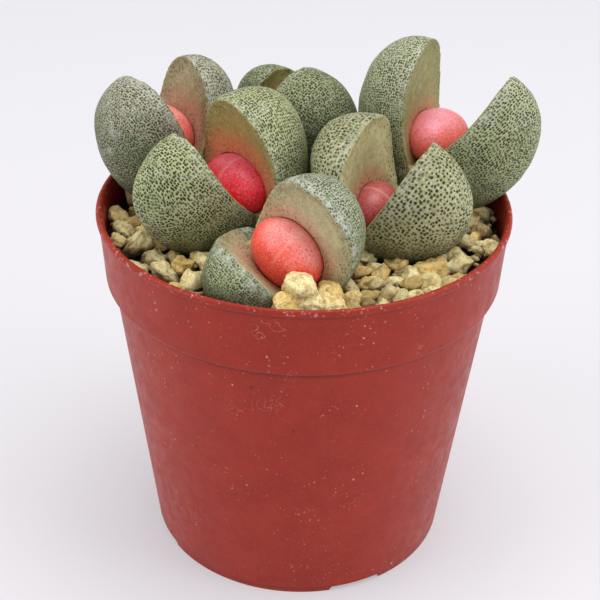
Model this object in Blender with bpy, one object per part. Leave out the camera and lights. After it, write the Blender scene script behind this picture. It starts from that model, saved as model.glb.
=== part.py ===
"""Six split rock plants in a 9 cm nursery pot, under pumice grit, at real size.

Sizes below are in millimetres and become metres where a mesh is made. The origin is the centre of the
pot's foot on the surface that it stands on. +Z is up and -Y is the front.
"""

import math
import random
from collections import namedtuple

import bmesh
import bpy
from mathutils import Matrix, Vector
from mathutils.bvhtree import BVHTree

MM = 0.001
GAP = 0.3
ROOM = 0.5

# Pot
POT_HEIGHT = 82.6
RIM_RADIUS = 45.0
LIP_TALL = 1.4
LIP_PROUD = 0.6
BAND_TALL = 15.9
BAND_DRAFT = 0.9
STEP_IN = 1.7
FOOT_RADIUS = 33.8
WALL = 1.0
PAD_RADIUS = 7.0
FLOOR_LOW = 2.2
FLOOR_TOP = 3.4
POT_SIDES = 64
NOTCHES = 4
NOTCH_TALL = 1.2
NOTCH_TURN = 21.0
FIRST_NOTCH = -66.5
DRAIN_HOLES = 6
DRAIN_RADIUS = 3.5
DRAIN_RING = 20.0

# Potting mix and grit
MIX_TOP = 68.0
BED_TOP = 76.0
GRIT_TOP = 79.6
GRAIN_SPACING = 4.3
GRAIN_SMALL = 1.9
GRAIN_LARGE = 2.9
GRAIN_TRIES = 2600
GRAIN_POINTS = 9
GRIT_SEED = 21

# Grains that lie on top at the front plant's foot: where each one's middle is, and its half size
LAID_GRAINS = (
    ((-0.6, -35.8, 82.0), 3.3),
    ((1.8, -38.0, 79.4), 2.7),
    ((-3.2, -38.6, 80.4), 2.3),
    ((6.2, -38.0, 78.8), 2.7),
    ((5.2, -33.8, 79.6), 2.6),
    ((3.4, -35.2, 77.2), 2.6),
    ((9.8, -36.6, 77.4), 2.7),
)

# Leaves: what all six plants share
LEAF_FOOT = 9.0
LEAF_DISH = 0.7
TIP_POWER = 2.2
BACK_POWER = 2.35
FOOT_POWER = 2.0
LEAF_RINGS = 12
BACK_COLUMNS = 8
FACE_COLUMNS = 4
TAPROOT_TOP = 4.2
TAPROOT_END = 1.6
TAPROOT_LONG = 26.0
TAPROOT_SIDES = 9

# width and thick are the leaf's full width and its depth behind the cleft face, long runs from the
# cleft's line to the tip, lean is the face's angle from upright at the cleft and at the tip, widest
# and fullest are how far up the face the leaf is widest and thickest, and slip moves it along the cleft.
Leaf = namedtuple("Leaf", "width thick long lean widest fullest slip")
# The new leaf pair is an ovoid: long along the cleft, wide across it, tall, lifted above the cleft's
# line by rise, and moved along and across the cleft.
NewPair = namedtuple("NewPair", "long wide tall rise along across")
# at is where the cleft's line crosses the plant's axis, turn is the cleft's compass turn from +X, and
# dip is how far its far end points up.
Plant = namedtuple("Plant", "name at turn dip first second new_pair")

PLANTS = (
    Plant(
        "front", (-5.0, -24.4, 79.8), -39, -24,
        Leaf(24.0, 12.0, 15.8, (85, 30), 0.5, 5.0, -1.0),
        Leaf(23.5, 12.0, 24.0, (21, -32), 9.5, 7.0, 1.6),
        NewPair(17.0, 11.2, 13.8, 4.8, 0.2, 0.0),
    ),
    Plant(
        "centre_left", (-14.6, -3.6, 83.8), -47.5, 0.5,
        Leaf(18.5, 16.5, 24.0, (54, 12), 6.0, 12.5, -1.5),
        Leaf(24.0, 16.5, 24.5, (8, -22), 5.5, 9.0, 0.5),
        NewPair(17.0, 13.4, 12.8, 4.5, 0.2, -0.4),
    ),
    Plant(
        "centre_right", (15.7, -6.2, 83.3), -115.5, -4.0,
        Leaf(27.0, 11.5, 21.0, (23.5, -10), 11.0, 13.0, -0.5),
        Leaf(20.5, 17.0, 22.0, (33, 25), 4.0, 7.5, 0.0),
        NewPair(13.8, 10.2, 10.8, 1.9, 1.4, 0.2),
    ),
    Plant(
        "back_right", (27.0, 14.3, 87.4), -116, 4.5,
        Leaf(21.5, 15.0, 26.3, (16, -12), 10.5, 5.5, 0.0),
        Leaf(18.5, 16.0, 29.0, (57, 18.5), 6.0, 8.0, 1.7),
        NewPair(17.4, 13.6, 11.4, 4.7, -0.6, -1.8),
    ),
    Plant(
        "back_left", (-30.0, 12.8, 86.0), -47.5, 7.0,
        Leaf(24.0, 13.7, 22.0, (26, 10), 9.5, 6.0, 0.0),
        Leaf(19.2, 14.6, 22.8, (34, -2), 5.2, 6.0, -0.3),
        NewPair(16.4, 11.6, 13.6, 5.3, -1.0, 0.6),
    ),
    Plant(
        "back_middle", (-2.4, 28.9, 81.8), -133, -0.4,
        Leaf(21.0, 13.2, 18.5, (44, -7.5), 5.5, 6.1, -0.2),
        Leaf(23.8, 16.5, 19.9, (11, -6), 5.7, 6.5, 0.7),
        NewPair(16.5, 11.5, 12.5, 4.5, 0.1, 0.1),
    ),
)


def material(name, colour, roughness):
    made = bpy.data.materials.new(name)
    made.use_nodes = True
    shader = made.node_tree.nodes["Principled BSDF"]
    shader.inputs["Base Color"].default_value = (*colour, 1)
    shader.inputs["Roughness"].default_value = roughness
    shader.inputs["Metallic"].default_value = 0.0
    made.diffuse_color = (*colour, 1)
    return made


def link_mesh(name, bm):
    """Turns a bmesh in millimetres into an object in metres, at the origin."""
    bmesh.ops.transform(bm, matrix=Matrix.Scale(MM, 4), verts=bm.verts)
    bmesh.ops.recalc_face_normals(bm, faces=bm.faces)
    mesh = bpy.data.meshes.new(name)
    bm.to_mesh(mesh)
    bm.free()
    made = bpy.data.objects.new(name, mesh)
    bpy.context.scene.collection.objects.link(made)
    return made


def boolean(target, others, operation):
    """Applies one Boolean of the target with several objects, then removes them."""
    group = bpy.data.collections.new("operands")
    bpy.context.scene.collection.children.link(group)
    for other in others:
        group.objects.link(other)
    step = target.modifiers.new(operation.lower(), "BOOLEAN")
    step.operation = operation
    step.operand_type = "COLLECTION"
    step.collection = group
    step.solver = "EXACT"
    bpy.context.view_layer.update()
    finished = target.evaluated_get(bpy.context.evaluated_depsgraph_get())
    mesh = bpy.data.meshes.new_from_object(finished)
    target.modifiers.clear()
    target.data = mesh
    for other in others:
        bpy.data.objects.remove(other)
    bpy.data.collections.remove(group)


def keep_largest_piece(target):
    """Drops the loose scraps that a cut left, so that one body stays."""
    bm = bmesh.new()
    bm.from_mesh(target.data)
    unseen = set(bm.verts)
    pieces = []
    while unseen:
        piece = {unseen.pop()}
        edge_of_piece = list(piece)
        while edge_of_piece:
            vertex = edge_of_piece.pop()
            for edge in vertex.link_edges:
                other = edge.other_vert(vertex)
                if other in unseen:
                    unseen.discard(other)
                    piece.add(other)
                    edge_of_piece.append(other)
        pieces.append(piece)
    largest = max(pieces, key=len)
    scraps = [vertex for vertex in bm.verts if vertex not in largest]
    bmesh.ops.delete(bm, geom=scraps, context="VERTS")
    bm.to_mesh(target.data)
    bm.free()


def turned(name, outline, sides):
    """Spins a closed outline of (radius, height) points, whose ends lie on the axis, round Z."""
    bm = bmesh.new()
    points = [bm.verts.new((radius, 0, height)) for radius, height in outline]
    edges = [bm.edges.new(pair) for pair in zip(points, points[1:])]
    bmesh.ops.spin(
        bm,
        geom=points + edges,
        axis=(0, 0, 1),
        cent=(0, 0, 0),
        angle=math.tau,
        steps=sides,
        use_merge=True,
    )
    bmesh.ops.remove_doubles(bm, verts=bm.verts, dist=0.001)
    return link_mesh(name, bm)


def cylinder(name, low, high, low_radius, high_radius, centre, sides):
    bm = bmesh.new()
    place = Matrix.Translation((centre[0], centre[1], (low + high) / 2))
    bmesh.ops.create_cone(
        bm,
        cap_ends=True,
        segments=sides,
        radius1=low_radius,
        radius2=high_radius,
        depth=high - low,
        matrix=place,
    )
    return link_mesh(name, bm)


def smooth_round(target, angle):
    target.data.shade_smooth()
    target.data.set_sharp_from_angle(angle=math.radians(angle))


# Sizes of the pot that follow from the ones at the top
BAND_LOW = POT_HEIGHT - BAND_TALL
BAND_TOP_RADIUS = RIM_RADIUS - LIP_PROUD
BAND_LOW_RADIUS = BAND_TOP_RADIUS - BAND_DRAFT
BODY_TOP_RADIUS = BAND_LOW_RADIUS - STEP_IN


def inner_radius(height):
    """The radius of the pot's inner wall at a height, which follows the outside one wall further in."""
    if height > BAND_LOW:
        up = (height - BAND_LOW) / BAND_TALL
        return BAND_LOW_RADIUS + BAND_DRAFT * up - WALL
    up = max(height, 0) / BAND_LOW
    return FOOT_RADIUS + (BODY_TOP_RADIUS - FOOT_RADIUS) * up - WALL


def make_pot():
    foot_width = 1.6
    outside = [
        (0, 0),
        (PAD_RADIUS, 0),
        (PAD_RADIUS + 1.2, FLOOR_LOW),
        (FOOT_RADIUS - foot_width - 1.2, FLOOR_LOW),
        (FOOT_RADIUS - foot_width, 0),
        (FOOT_RADIUS - 0.3, 0),
        (FOOT_RADIUS, 0.4),
        (BODY_TOP_RADIUS, BAND_LOW - 1.6),
        (BODY_TOP_RADIUS + 0.35, BAND_LOW - 0.75),
        (BAND_LOW_RADIUS - 0.5, BAND_LOW - 0.25),
        (BAND_LOW_RADIUS, BAND_LOW + 0.5),
        (BAND_TOP_RADIUS, POT_HEIGHT - LIP_TALL - 0.25),
        (RIM_RADIUS - 0.05, POT_HEIGHT - LIP_TALL + 0.1),
        (RIM_RADIUS, POT_HEIGHT - 0.5 * LIP_TALL),
        (RIM_RADIUS - 0.35, POT_HEIGHT - 0.1),
        (RIM_RADIUS - 0.8, POT_HEIGHT),
        (RIM_RADIUS - 1.3, POT_HEIGHT - 0.3),
        (inner_radius(POT_HEIGHT - 1.5), POT_HEIGHT - 1.5),
    ]
    inside = [
        (inner_radius(BAND_LOW + 0.1), BAND_LOW + 0.1),
        (inner_radius(BAND_LOW - 1.6), BAND_LOW - 1.6),
        (inner_radius(FLOOR_TOP), FLOOR_TOP),
        (0, FLOOR_TOP),
    ]
    pot = turned("pot", outside + inside, POT_SIDES)
    cutters = []
    for number in range(NOTCHES):
        bm = bmesh.new()
        bmesh.ops.create_cube(bm, size=1)
        width = 2 * FOOT_RADIUS * math.sin(math.radians(NOTCH_TURN / 2))
        depth = 4 * foot_width + 2
        bmesh.ops.scale(bm, vec=(depth, width, 2 * NOTCH_TALL), verts=bm.verts)
        bmesh.ops.translate(bm, vec=(FOOT_RADIUS - 0.5, 0, 0), verts=bm.verts)
        turn = math.radians(FIRST_NOTCH + number * 360 / NOTCHES)
        bmesh.ops.rotate(
            bm, cent=(0, 0, 0), matrix=Matrix.Rotation(turn, 3, "Z"), verts=bm.verts
        )
        cutters.append(link_mesh("notch_cutter", bm))
    for number in range(DRAIN_HOLES):
        turn = math.tau * number / DRAIN_HOLES
        centre = (DRAIN_RING * math.cos(turn), DRAIN_RING * math.sin(turn))
        cutters.append(
            cylinder(
                "drain_cutter", FLOOR_LOW - 2, FLOOR_TOP + 2, DRAIN_RADIUS, DRAIN_RADIUS, centre, 14
            )
        )
    boolean(pot, cutters, "DIFFERENCE")
    smooth_round(pot, 40)
    return pot


def plant_axes(plant):
    """The cleft's direction, the plant's own up, and the way from the cleft to the first leaf."""
    turn = math.radians(plant.turn)
    dip = math.radians(plant.dip)
    flat = Vector((math.cos(turn), math.sin(turn), 0))
    along = flat * math.cos(dip) + Vector((0, 0, math.sin(dip)))
    up = -flat * math.sin(dip) + Vector((0, 0, math.cos(dip)))
    return along, up, along.cross(up)


def swell(height, low, middle, top, power):
    """0 at the foot and tip of a leaf and 1 at its fullest height, round in between."""
    if height > middle:
        return math.sqrt(max(0, 1 - ((height - middle) / (top - middle)) ** power))
    return math.sqrt(max(0, 1 - ((middle - height) / (middle - low)) ** FOOT_POWER))


def leaf_point(plant, leaf, side, across, height, behind):
    """A point of a leaf: across its width, up its curved cleft face, and behind that face."""
    along, up, out = plant_axes(plant)
    start = math.radians(leaf.lean[0])
    bend = math.radians(leaf.lean[1] - leaf.lean[0]) / leaf.long
    if abs(bend) < 1e-6:
        bend = 1e-6
    climbed = max(height, 0)
    below = min(height, 0)
    lean = start + bend * climbed
    outward = (math.cos(start) - math.cos(lean)) / bend + math.sin(start) * below
    upward = (math.sin(lean) - math.sin(start)) / bend + math.cos(start) * below
    outward += math.cos(lean) * behind
    upward -= math.sin(lean) * behind
    place = Vector(plant.at) + along * (across + leaf.slip)
    return place + up * upward + out * (side * outward)


def grow_outwards(bm, amount):
    """Moves a closed shape's surface out along its normals."""
    bmesh.ops.recalc_face_normals(bm, faces=bm.faces)
    if bm.calc_volume(signed=True) < 0:
        bmesh.ops.reverse_faces(bm, faces=bm.faces)
    bm.normal_update()
    steps = [vertex.normal * amount * vertex.calc_shell_factor() for vertex in bm.verts]
    for vertex, step in zip(bm.verts, steps):
        vertex.co += step


def leaf_body(name, plant, leaf, side, grow=0.0):
    """One old leaf as a closed loft from its foot to its tip, all round larger by grow."""
    low = -LEAF_FOOT
    top = leaf.long
    bm = bmesh.new()
    rings = []
    for ring in range(1, LEAF_RINGS):
        turn = math.pi * ring / LEAF_RINGS
        height = low + (top - low) * (1 - math.cos(turn)) / 2
        half = leaf.width / 2 * swell(height, low, leaf.widest, top, TIP_POWER)
        depth = leaf.thick * swell(height, low, leaf.fullest, top, BACK_POWER)
        section = []
        for column in range(BACK_COLUMNS + 1):
            turn = math.pi * column / BACK_COLUMNS
            section.append((half * math.cos(turn), depth * math.sin(turn)))
        for column in range(1, FACE_COLUMNS):
            place = -1 + 2 * column / FACE_COLUMNS
            dish = min(LEAF_DISH, depth / 4) * (1 - place * place)
            section.append((half * place, dish))
        rings.append(
            [
                bm.verts.new(leaf_point(plant, leaf, side, across, height, behind))
                for across, behind in section
            ]
        )
    foot = bm.verts.new(leaf_point(plant, leaf, side, 0, low, 0))
    tip = bm.verts.new(leaf_point(plant, leaf, side, 0, top, 0))
    count = len(rings[0])
    for lower, upper in zip(rings, rings[1:]):
        for i in range(count):
            j = (i + 1) % count
            bm.faces.new((lower[i], lower[j], upper[j], upper[i]))
    for i in range(count):
        j = (i + 1) % count
        bm.faces.new((foot, rings[0][j], rings[0][i]))
        bm.faces.new((tip, rings[-1][i], rings[-1][j]))
    grow_outwards(bm, grow)
    return link_mesh(name, bm)


def new_pair_body(name, plant, grow=0.0):
    """The new leaf pair as an ovoid lying in the cleft, all round larger by grow."""
    along, up, out = plant_axes(plant)
    pair = plant.new_pair
    bm = bmesh.new()
    bmesh.ops.create_uvsphere(bm, u_segments=14, v_segments=10, radius=1)
    half = (pair.long / 2, pair.wide / 2, pair.tall / 2)
    centre = Vector(plant.at) + along * pair.along + out * pair.across + up * pair.rise
    # The sphere's poles lie at the ends of the cleft, where its rings are smallest.
    for vertex in bm.verts:
        x, y, z = vertex.co
        vertex.co = centre + along * (z * half[0]) + out * (x * half[1]) + up * (y * half[2])
    grow_outwards(bm, grow)
    return link_mesh(name, bm)


def taproot(name, plant, grow=0.0):
    """The short root under a plant, upright, from inside its foot down into the mix."""
    top = plant.at[2] - 5
    low = MIX_TOP - TAPROOT_LONG
    return cylinder(
        name,
        low - grow,
        top,
        TAPROOT_END + grow,
        TAPROOT_TOP + grow,
        plant.at[:2],
        TAPROOT_SIDES,
    )


def make_old_leaves(plant):
    body = leaf_body("old_leaves_" + plant.name, plant, plant.first, 1)
    other = leaf_body("other_leaf", plant, plant.second, -1)
    boolean(body, [other, taproot("root", plant)], "UNION")
    return body


def plant_room(plant):
    """What a plant needs free of grit: its own solids, larger by a little more than the gap."""
    return [
        leaf_body("room", plant, plant.first, 1, ROOM),
        leaf_body("room", plant, plant.second, -1, ROOM),
        new_pair_body("room", plant, ROOM),
        taproot("room", plant, ROOM),
    ]


def make_potting_mix():
    low = FLOOR_TOP + GAP
    outline = [
        (0, low),
        (inner_radius(low) - GAP, low),
        (inner_radius(BAND_LOW - 1.6) - GAP, BAND_LOW - 1.6),
        (inner_radius(BAND_LOW + 0.1) - GAP, BAND_LOW + 0.4),
        (inner_radius(MIX_TOP) - GAP, MIX_TOP),
        (0, MIX_TOP),
    ]
    mix = turned("potting_mix", outline, 40)
    holes = [taproot("hole", plant, GAP) for plant in PLANTS]
    boolean(mix, holes, "DIFFERENCE")
    return mix


def taken(tree, point, clear):
    """Whether a point lies inside a closed surface or nearer to it than clear."""
    if tree.find_nearest(point)[3] < clear:
        return True
    up = Vector((0, 0, 1))
    crossings = 0
    place = tree.ray_cast(point, up)[0]
    while place is not None:
        crossings += 1
        place = tree.ray_cast(place + up * 1e-6, up)[0]
    return crossings % 2 == 1


def grain_places():
    """Random places for the grains, no two too close, over the grit between the plants."""
    draw = random.Random(GRIT_SEED)
    rooms = [piece for plant in PLANTS for piece in plant_room(plant)]
    trees = [BVHTree.FromPolygons(*mesh_lists(piece)) for piece in rooms]
    places = [(Vector(here), size) for here, size in LAID_GRAINS]
    for _ in range(GRAIN_TRIES):
        size = draw.uniform(GRAIN_SMALL, GRAIN_LARGE)
        reach = (inner_radius(GRIT_TOP) - GAP - size) * math.sqrt(draw.random())
        turn = draw.uniform(0, math.tau)
        height = GRIT_TOP - size + draw.uniform(-1.3, 0.3)
        here = Vector((reach * math.cos(turn), reach * math.sin(turn), height))
        if any((here - other).to_2d().length < GRAIN_SPACING for other, _ in places):
            continue
        if any(taken(tree, here * MM, 0.25 * size * MM) for tree in trees):
            continue
        places.append((here, size))
    for piece in rooms:
        bpy.data.objects.remove(piece)
    return places, draw


def mesh_lists(piece):
    mesh = piece.data
    points = [vertex.co.copy() for vertex in mesh.vertices]
    faces = [tuple(polygon.vertices) for polygon in mesh.polygons]
    return points, faces


def grain(draw, here, size):
    """One chip of pumice: the hull of a few points spread over a squashed ball."""
    bm = bmesh.new()
    turn = Matrix.Rotation(draw.uniform(0, math.tau), 3, "Z")
    tilt = Matrix.Rotation(draw.uniform(-0.5, 0.5), 3, "X")
    stretch = (draw.uniform(1.0, 1.3), draw.uniform(0.8, 1.0), draw.uniform(0.75, 1.0))
    for number in range(GRAIN_POINTS):
        high = 1 - 2 * (number + 0.5) / GRAIN_POINTS
        round_ = number * math.pi * (3 - math.sqrt(5)) + draw.uniform(-0.4, 0.4)
        flat = math.sqrt(1 - high * high)
        point = Vector((flat * math.cos(round_), flat * math.sin(round_), high))
        point *= size * draw.uniform(0.82, 1.1)
        point = Vector(a * b for a, b in zip(point, stretch))
        corner = here + turn @ (tilt @ point)
        # A corner that would pass into the pot's wall is drawn back to the gap before it.
        inwards = min(1, (inner_radius(corner.z) - GAP) / corner.to_2d().length)
        bm.verts.new((corner.x * inwards, corner.y * inwards, corner.z))
    bmesh.ops.convex_hull(bm, input=bm.verts)
    return link_mesh("grain", bm)


def make_grit():
    low = MIX_TOP + GAP
    outline = [
        (0, low),
        (inner_radius(low) - GAP, low),
        (inner_radius(BED_TOP) - GAP, BED_TOP),
        (0, BED_TOP),
    ]
    grit = turned("grit", outline, 40)
    places, draw = grain_places()
    grains = [grain(draw, here, size) for here, size in places]
    boolean(grit, grains, "UNION")
    rooms = [piece for plant in PLANTS for piece in plant_room(plant)]
    boolean(grit, rooms, "DIFFERENCE")
    keep_largest_piece(grit)
    return grit


def main():
    for old in list(bpy.data.objects):
        bpy.data.objects.remove(old)

    plastic = material("terracotta plastic", (0.33, 0.045, 0.03), 0.45)
    pumice = material("pumice", (0.55, 0.45, 0.26), 0.95)
    soil = material("potting mix", (0.05, 0.032, 0.02), 1.0)
    skin = material("leaf skin", (0.24, 0.3, 0.17), 0.6)
    flesh = material("new leaf skin", (0.7, 0.09, 0.08), 0.4)

    pot = make_pot()
    pot.data.materials.append(plastic)
    mix = make_potting_mix()
    mix.data.materials.append(soil)
    grit = make_grit()
    grit.data.materials.append(pumice)

    for plant in PLANTS:
        old_leaves = make_old_leaves(plant)
        boolean(old_leaves, [new_pair_body("pocket", plant, GAP)], "DIFFERENCE")
        keep_largest_piece(old_leaves)
        smooth_round(old_leaves, 50)
        old_leaves.data.materials.clear()
        old_leaves.data.materials.append(skin)
        new_leaves = new_pair_body("new_leaves_" + plant.name, plant)
        new_leaves.data.shade_smooth()
        new_leaves.data.materials.append(flesh)


main()
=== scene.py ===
"""Six split rock plants in a nursery pot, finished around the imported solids.

The file is laid out as an add-on and run as a script. Shapes are worked out in millimetres, as in the
part's own source, and become metres where a mesh is made. The origin is the centre of the pot's foot,
+Z is up and -Y is the side that the camera stands on.
"""

import math
import random
from collections import namedtuple

import bmesh
import bpy
import numpy as np
from bpy.props import (
    FloatProperty,
    FloatVectorProperty,
    IntProperty,
    PointerProperty,
)
from mathutils import Matrix, Vector, noise
from mathutils.bvhtree import BVHTree


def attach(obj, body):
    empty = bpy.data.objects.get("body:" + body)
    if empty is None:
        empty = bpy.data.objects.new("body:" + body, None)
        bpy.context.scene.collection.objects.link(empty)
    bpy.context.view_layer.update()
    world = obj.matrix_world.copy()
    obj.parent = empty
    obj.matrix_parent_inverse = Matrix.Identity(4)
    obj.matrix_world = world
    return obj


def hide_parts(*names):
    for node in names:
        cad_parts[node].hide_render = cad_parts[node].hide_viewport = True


bl_info = {
    "name": "Potted split rock",
    "version": (1, 0, 0),
    "blender": (4, 5, 0),
    "location": "3D View > Sidebar > Split rock",
    "description": "Builds the pot, the grit and the leaf pairs of six potted split rock plants",
    "category": "Add Mesh",
}

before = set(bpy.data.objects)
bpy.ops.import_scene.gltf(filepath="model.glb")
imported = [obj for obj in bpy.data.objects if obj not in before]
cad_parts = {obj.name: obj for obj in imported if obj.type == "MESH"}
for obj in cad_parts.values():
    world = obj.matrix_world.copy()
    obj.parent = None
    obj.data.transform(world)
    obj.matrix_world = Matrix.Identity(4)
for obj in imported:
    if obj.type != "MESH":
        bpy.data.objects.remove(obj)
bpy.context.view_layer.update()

MM = 0.001
GAP = 0.3
ROOM = 0.5

# Levels inside the pot
FLOOR_TOP = 3.4
MIX_TOP = 68.0
BED_TOP = 76.0
GRIT_TOP = 79.6

# Leaves: what all six plants share
LEAF_FOOT = 9.0
LEAF_DISH = 0.7
TIP_POWER = 2.2
BACK_POWER = 2.35
FOOT_POWER = 2.0
TAPROOT_TOP = 4.2
TAPROOT_END = 1.6
TAPROOT_LONG = 26.0

# Chips that lie on top at the front plant's foot: where each one's middle is, and its half size
LAID_CHIPS = (
    ((-0.6, -35.8, 82.0), 3.3),
    ((1.8, -38.0, 79.4), 2.7),
    ((-3.2, -38.6, 80.4), 2.3),
    ((6.2, -38.0, 78.8), 2.7),
    ((5.2, -33.8, 79.6), 2.6),
    ((3.4, -35.2, 77.2), 2.6),
    ((9.8, -36.6, 77.4), 2.7),
)

# The largest of them leans on the young leaves: its shape, and its turns in radians
LAID_STRETCH = (1.95, 1.15, 0.95)
LAID_TURN = (0.5, -0.15, 0.1)

# width and thick are the leaf's full width and its depth behind the cleft face, long runs from the
# cleft's line to the tip, lean is the face's angle from upright at the cleft and at the tip, widest
# and fullest are how far up the face the leaf is widest and thickest, and slip moves it along the cleft.
Leaf = namedtuple("Leaf", "width thick long lean widest fullest slip")
# The new leaf pair is an ovoid: long along the cleft, wide across it, tall, lifted above the cleft's
# line by rise, and moved along and across the cleft.
NewPair = namedtuple("NewPair", "long wide tall rise along across")
# at is where the cleft's line crosses the plant's axis, turn is the cleft's compass turn from +X, and
# dip is how far its far end points up.
Plant = namedtuple("Plant", "name at turn dip first second new_pair")
# The dots' spacing and radius in millimetres, then colours: the skin, its paler crown, the cleft
# face, the blush at the foot of that face and how many millimetres it reaches from the new pair, and
# the new pair's colour and its paler top, a painted highlight. chalk is how thick the bloom on the rims is, from 0 to
# 1.
Look = namedtuple("Look", "dot_gap dot_size chalk skin crown face blush reach young young_light")

PLANTS = (
    Plant(
        "front", (-5.0, -24.4, 79.8), -39, -24,
        Leaf(24.0, 12.0, 15.8, (85, 30), 0.5, 5.0, -1.0),
        Leaf(23.5, 12.0, 24.0, (21, -32), 9.5, 7.0, 1.6),
        NewPair(17.0, 11.2, 13.8, 4.8, 0.2, 0.0),
    ),
    Plant(
        "centre_left", (-14.6, -3.6, 83.8), -47.5, 0.5,
        Leaf(18.5, 16.5, 24.0, (54, 12), 6.0, 12.5, -1.5),
        Leaf(24.0, 16.5, 24.5, (8, -22), 5.5, 9.0, 0.5),
        NewPair(17.0, 13.4, 12.8, 4.5, 0.2, -0.4),
    ),
    Plant(
        "centre_right", (15.7, -6.2, 83.3), -115.5, -4.0,
        Leaf(27.0, 11.5, 21.0, (23.5, -10), 11.0, 13.0, -0.5),
        Leaf(20.5, 17.0, 22.0, (33, 25), 4.0, 7.5, 0.0),
        NewPair(13.8, 10.2, 10.8, 1.9, 1.4, 0.2),
    ),
    Plant(
        "back_right", (27.0, 14.3, 87.4), -116, 4.5,
        Leaf(21.5, 15.0, 26.3, (16, -12), 10.5, 5.5, 0.0),
        Leaf(18.5, 16.0, 29.0, (57, 18.5), 6.0, 8.0, 1.7),
        NewPair(17.4, 13.6, 11.4, 4.7, -0.6, -1.8),
    ),
    Plant(
        "back_left", (-30.0, 12.8, 86.0), -47.5, 7.0,
        Leaf(24.0, 13.7, 22.0, (26, 10), 9.5, 6.0, 0.0),
        Leaf(19.2, 14.6, 22.8, (34, -2), 5.2, 6.0, -0.3),
        NewPair(16.4, 11.6, 13.6, 5.3, -1.0, 0.6),
    ),
    Plant(
        "back_middle", (-2.4, 28.9, 81.8), -133, -0.4,
        Leaf(21.0, 13.2, 18.5, (44, -7.5), 5.5, 6.1, -0.2),
        Leaf(23.8, 16.5, 19.9, (11, -6), 5.7, 6.5, 0.7),
        NewPair(16.5, 11.5, 12.5, 4.5, 0.1, 0.1),
    ),
)


def paint(red, green, blue):
    """The shader's linear colour for a screen colour given from 0 to 255."""
    colour = []
    for part in (red, green, blue):
        part /= 255
        colour.append(part / 12.92 if part < 0.04045 else ((part + 0.055) / 1.055) ** 2.4)
    return tuple(colour)


LOOKS = {
    "front": Look(
        0.56, 0.172, 0.7, paint(146, 152, 110), paint(156, 158, 134), paint(200, 192, 150),
        paint(208, 156, 126), 4.0, paint(250, 84, 64), paint(255, 172, 166),
    ),
    "centre_left": Look(
        0.57, 0.185, 0.35, paint(182, 184, 134), paint(164, 166, 118), paint(166, 148, 88),
        paint(238, 122, 96), 7.5, paint(255, 44, 58), paint(255, 124, 146),
    ),
    "centre_right": Look(
        0.84, 0.235, 0.3, paint(188, 184, 140), paint(144, 142, 102), paint(198, 190, 142),
        paint(206, 134, 104), 4.5, paint(178, 66, 68), paint(206, 106, 104),
    ),
    "back_right": Look(
        0.54, 0.168, 0.25, paint(168, 172, 128), paint(174, 174, 142), paint(164, 160, 108),
        paint(196, 142, 102), 4.0, paint(248, 116, 104), paint(255, 166, 186),
    ),
    "back_left": Look(
        0.58, 0.178, 0.45, paint(124, 120, 96), paint(176, 170, 148), paint(184, 172, 132),
        paint(216, 152, 126), 6.0, paint(230, 96, 84), paint(246, 154, 144),
    ),
    "back_middle": Look(
        0.62, 0.205, 0.3, paint(62, 72, 38), paint(150, 154, 110), paint(156, 160, 92),
        paint(214, 152, 92), 6.0, paint(226, 96, 80), paint(242, 144, 130),
    ),
}
DOT = paint(46, 44, 24)
SOIL_STAIN = paint(84, 82, 56)
MARGIN = paint(206, 184, 132)
# Where the map of a leaf's back changes from disc to ring, from 0 in the middle to 1 at the rim
MAP_BORDER = 0.5


# Shapes


def make_mesh(name, points, faces):
    """A mesh object at the origin from points in millimetres."""
    mesh = bpy.data.meshes.new(name)
    mesh.from_pydata([tuple(point) for point in np.asarray(points) * MM], [], faces)
    mesh.validate()
    mesh.update()
    made = bpy.data.objects.new(name, mesh)
    bpy.context.scene.collection.objects.link(made)
    return made


def bmesh_object(name, bm):
    """A mesh object at the origin from a bmesh in millimetres."""
    bmesh.ops.transform(bm, matrix=Matrix.Scale(MM, 4), verts=bm.verts)
    bmesh.ops.recalc_face_normals(bm, faces=bm.faces)
    mesh = bpy.data.meshes.new(name)
    bm.to_mesh(mesh)
    bm.free()
    made = bpy.data.objects.new(name, mesh)
    bpy.context.scene.collection.objects.link(made)
    return made


def settle(made):
    """Replaces a mesh by what its modifiers make of it."""
    bpy.context.view_layer.update()
    finished = made.evaluated_get(bpy.context.evaluated_depsgraph_get())
    mesh = bpy.data.meshes.new_from_object(finished)
    made.modifiers.clear()
    made.data = mesh
    return made


def cut_away(target, cutters):
    """Takes the cutters out of the target and removes them."""
    group = bpy.data.collections.new("cutters")
    bpy.context.scene.collection.children.link(group)
    for cutter in cutters:
        group.objects.link(cutter)
    step = target.modifiers.new("cut", "BOOLEAN")
    step.operation = "DIFFERENCE"
    step.operand_type = "COLLECTION"
    step.collection = group
    step.solver = "EXACT"
    settle(target)
    for cutter in cutters:
        bpy.data.objects.remove(cutter)
    bpy.data.collections.remove(group)


def turned(name, outline, sides):
    """Spins an outline of (radius, height) points, whose ends lie on the axis, round Z."""
    bm = bmesh.new()
    points = [bm.verts.new((radius, 0, height)) for radius, height in outline]
    edges = [bm.edges.new(pair) for pair in zip(points, points[1:])]
    bmesh.ops.spin(
        bm,
        geom=points + edges,
        axis=(0, 0, 1),
        cent=(0, 0, 0),
        angle=math.tau,
        steps=sides,
        use_merge=True,
    )
    bmesh.ops.remove_doubles(bm, verts=bm.verts, dist=0.001)
    return bmesh_object(name, bm)


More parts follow.
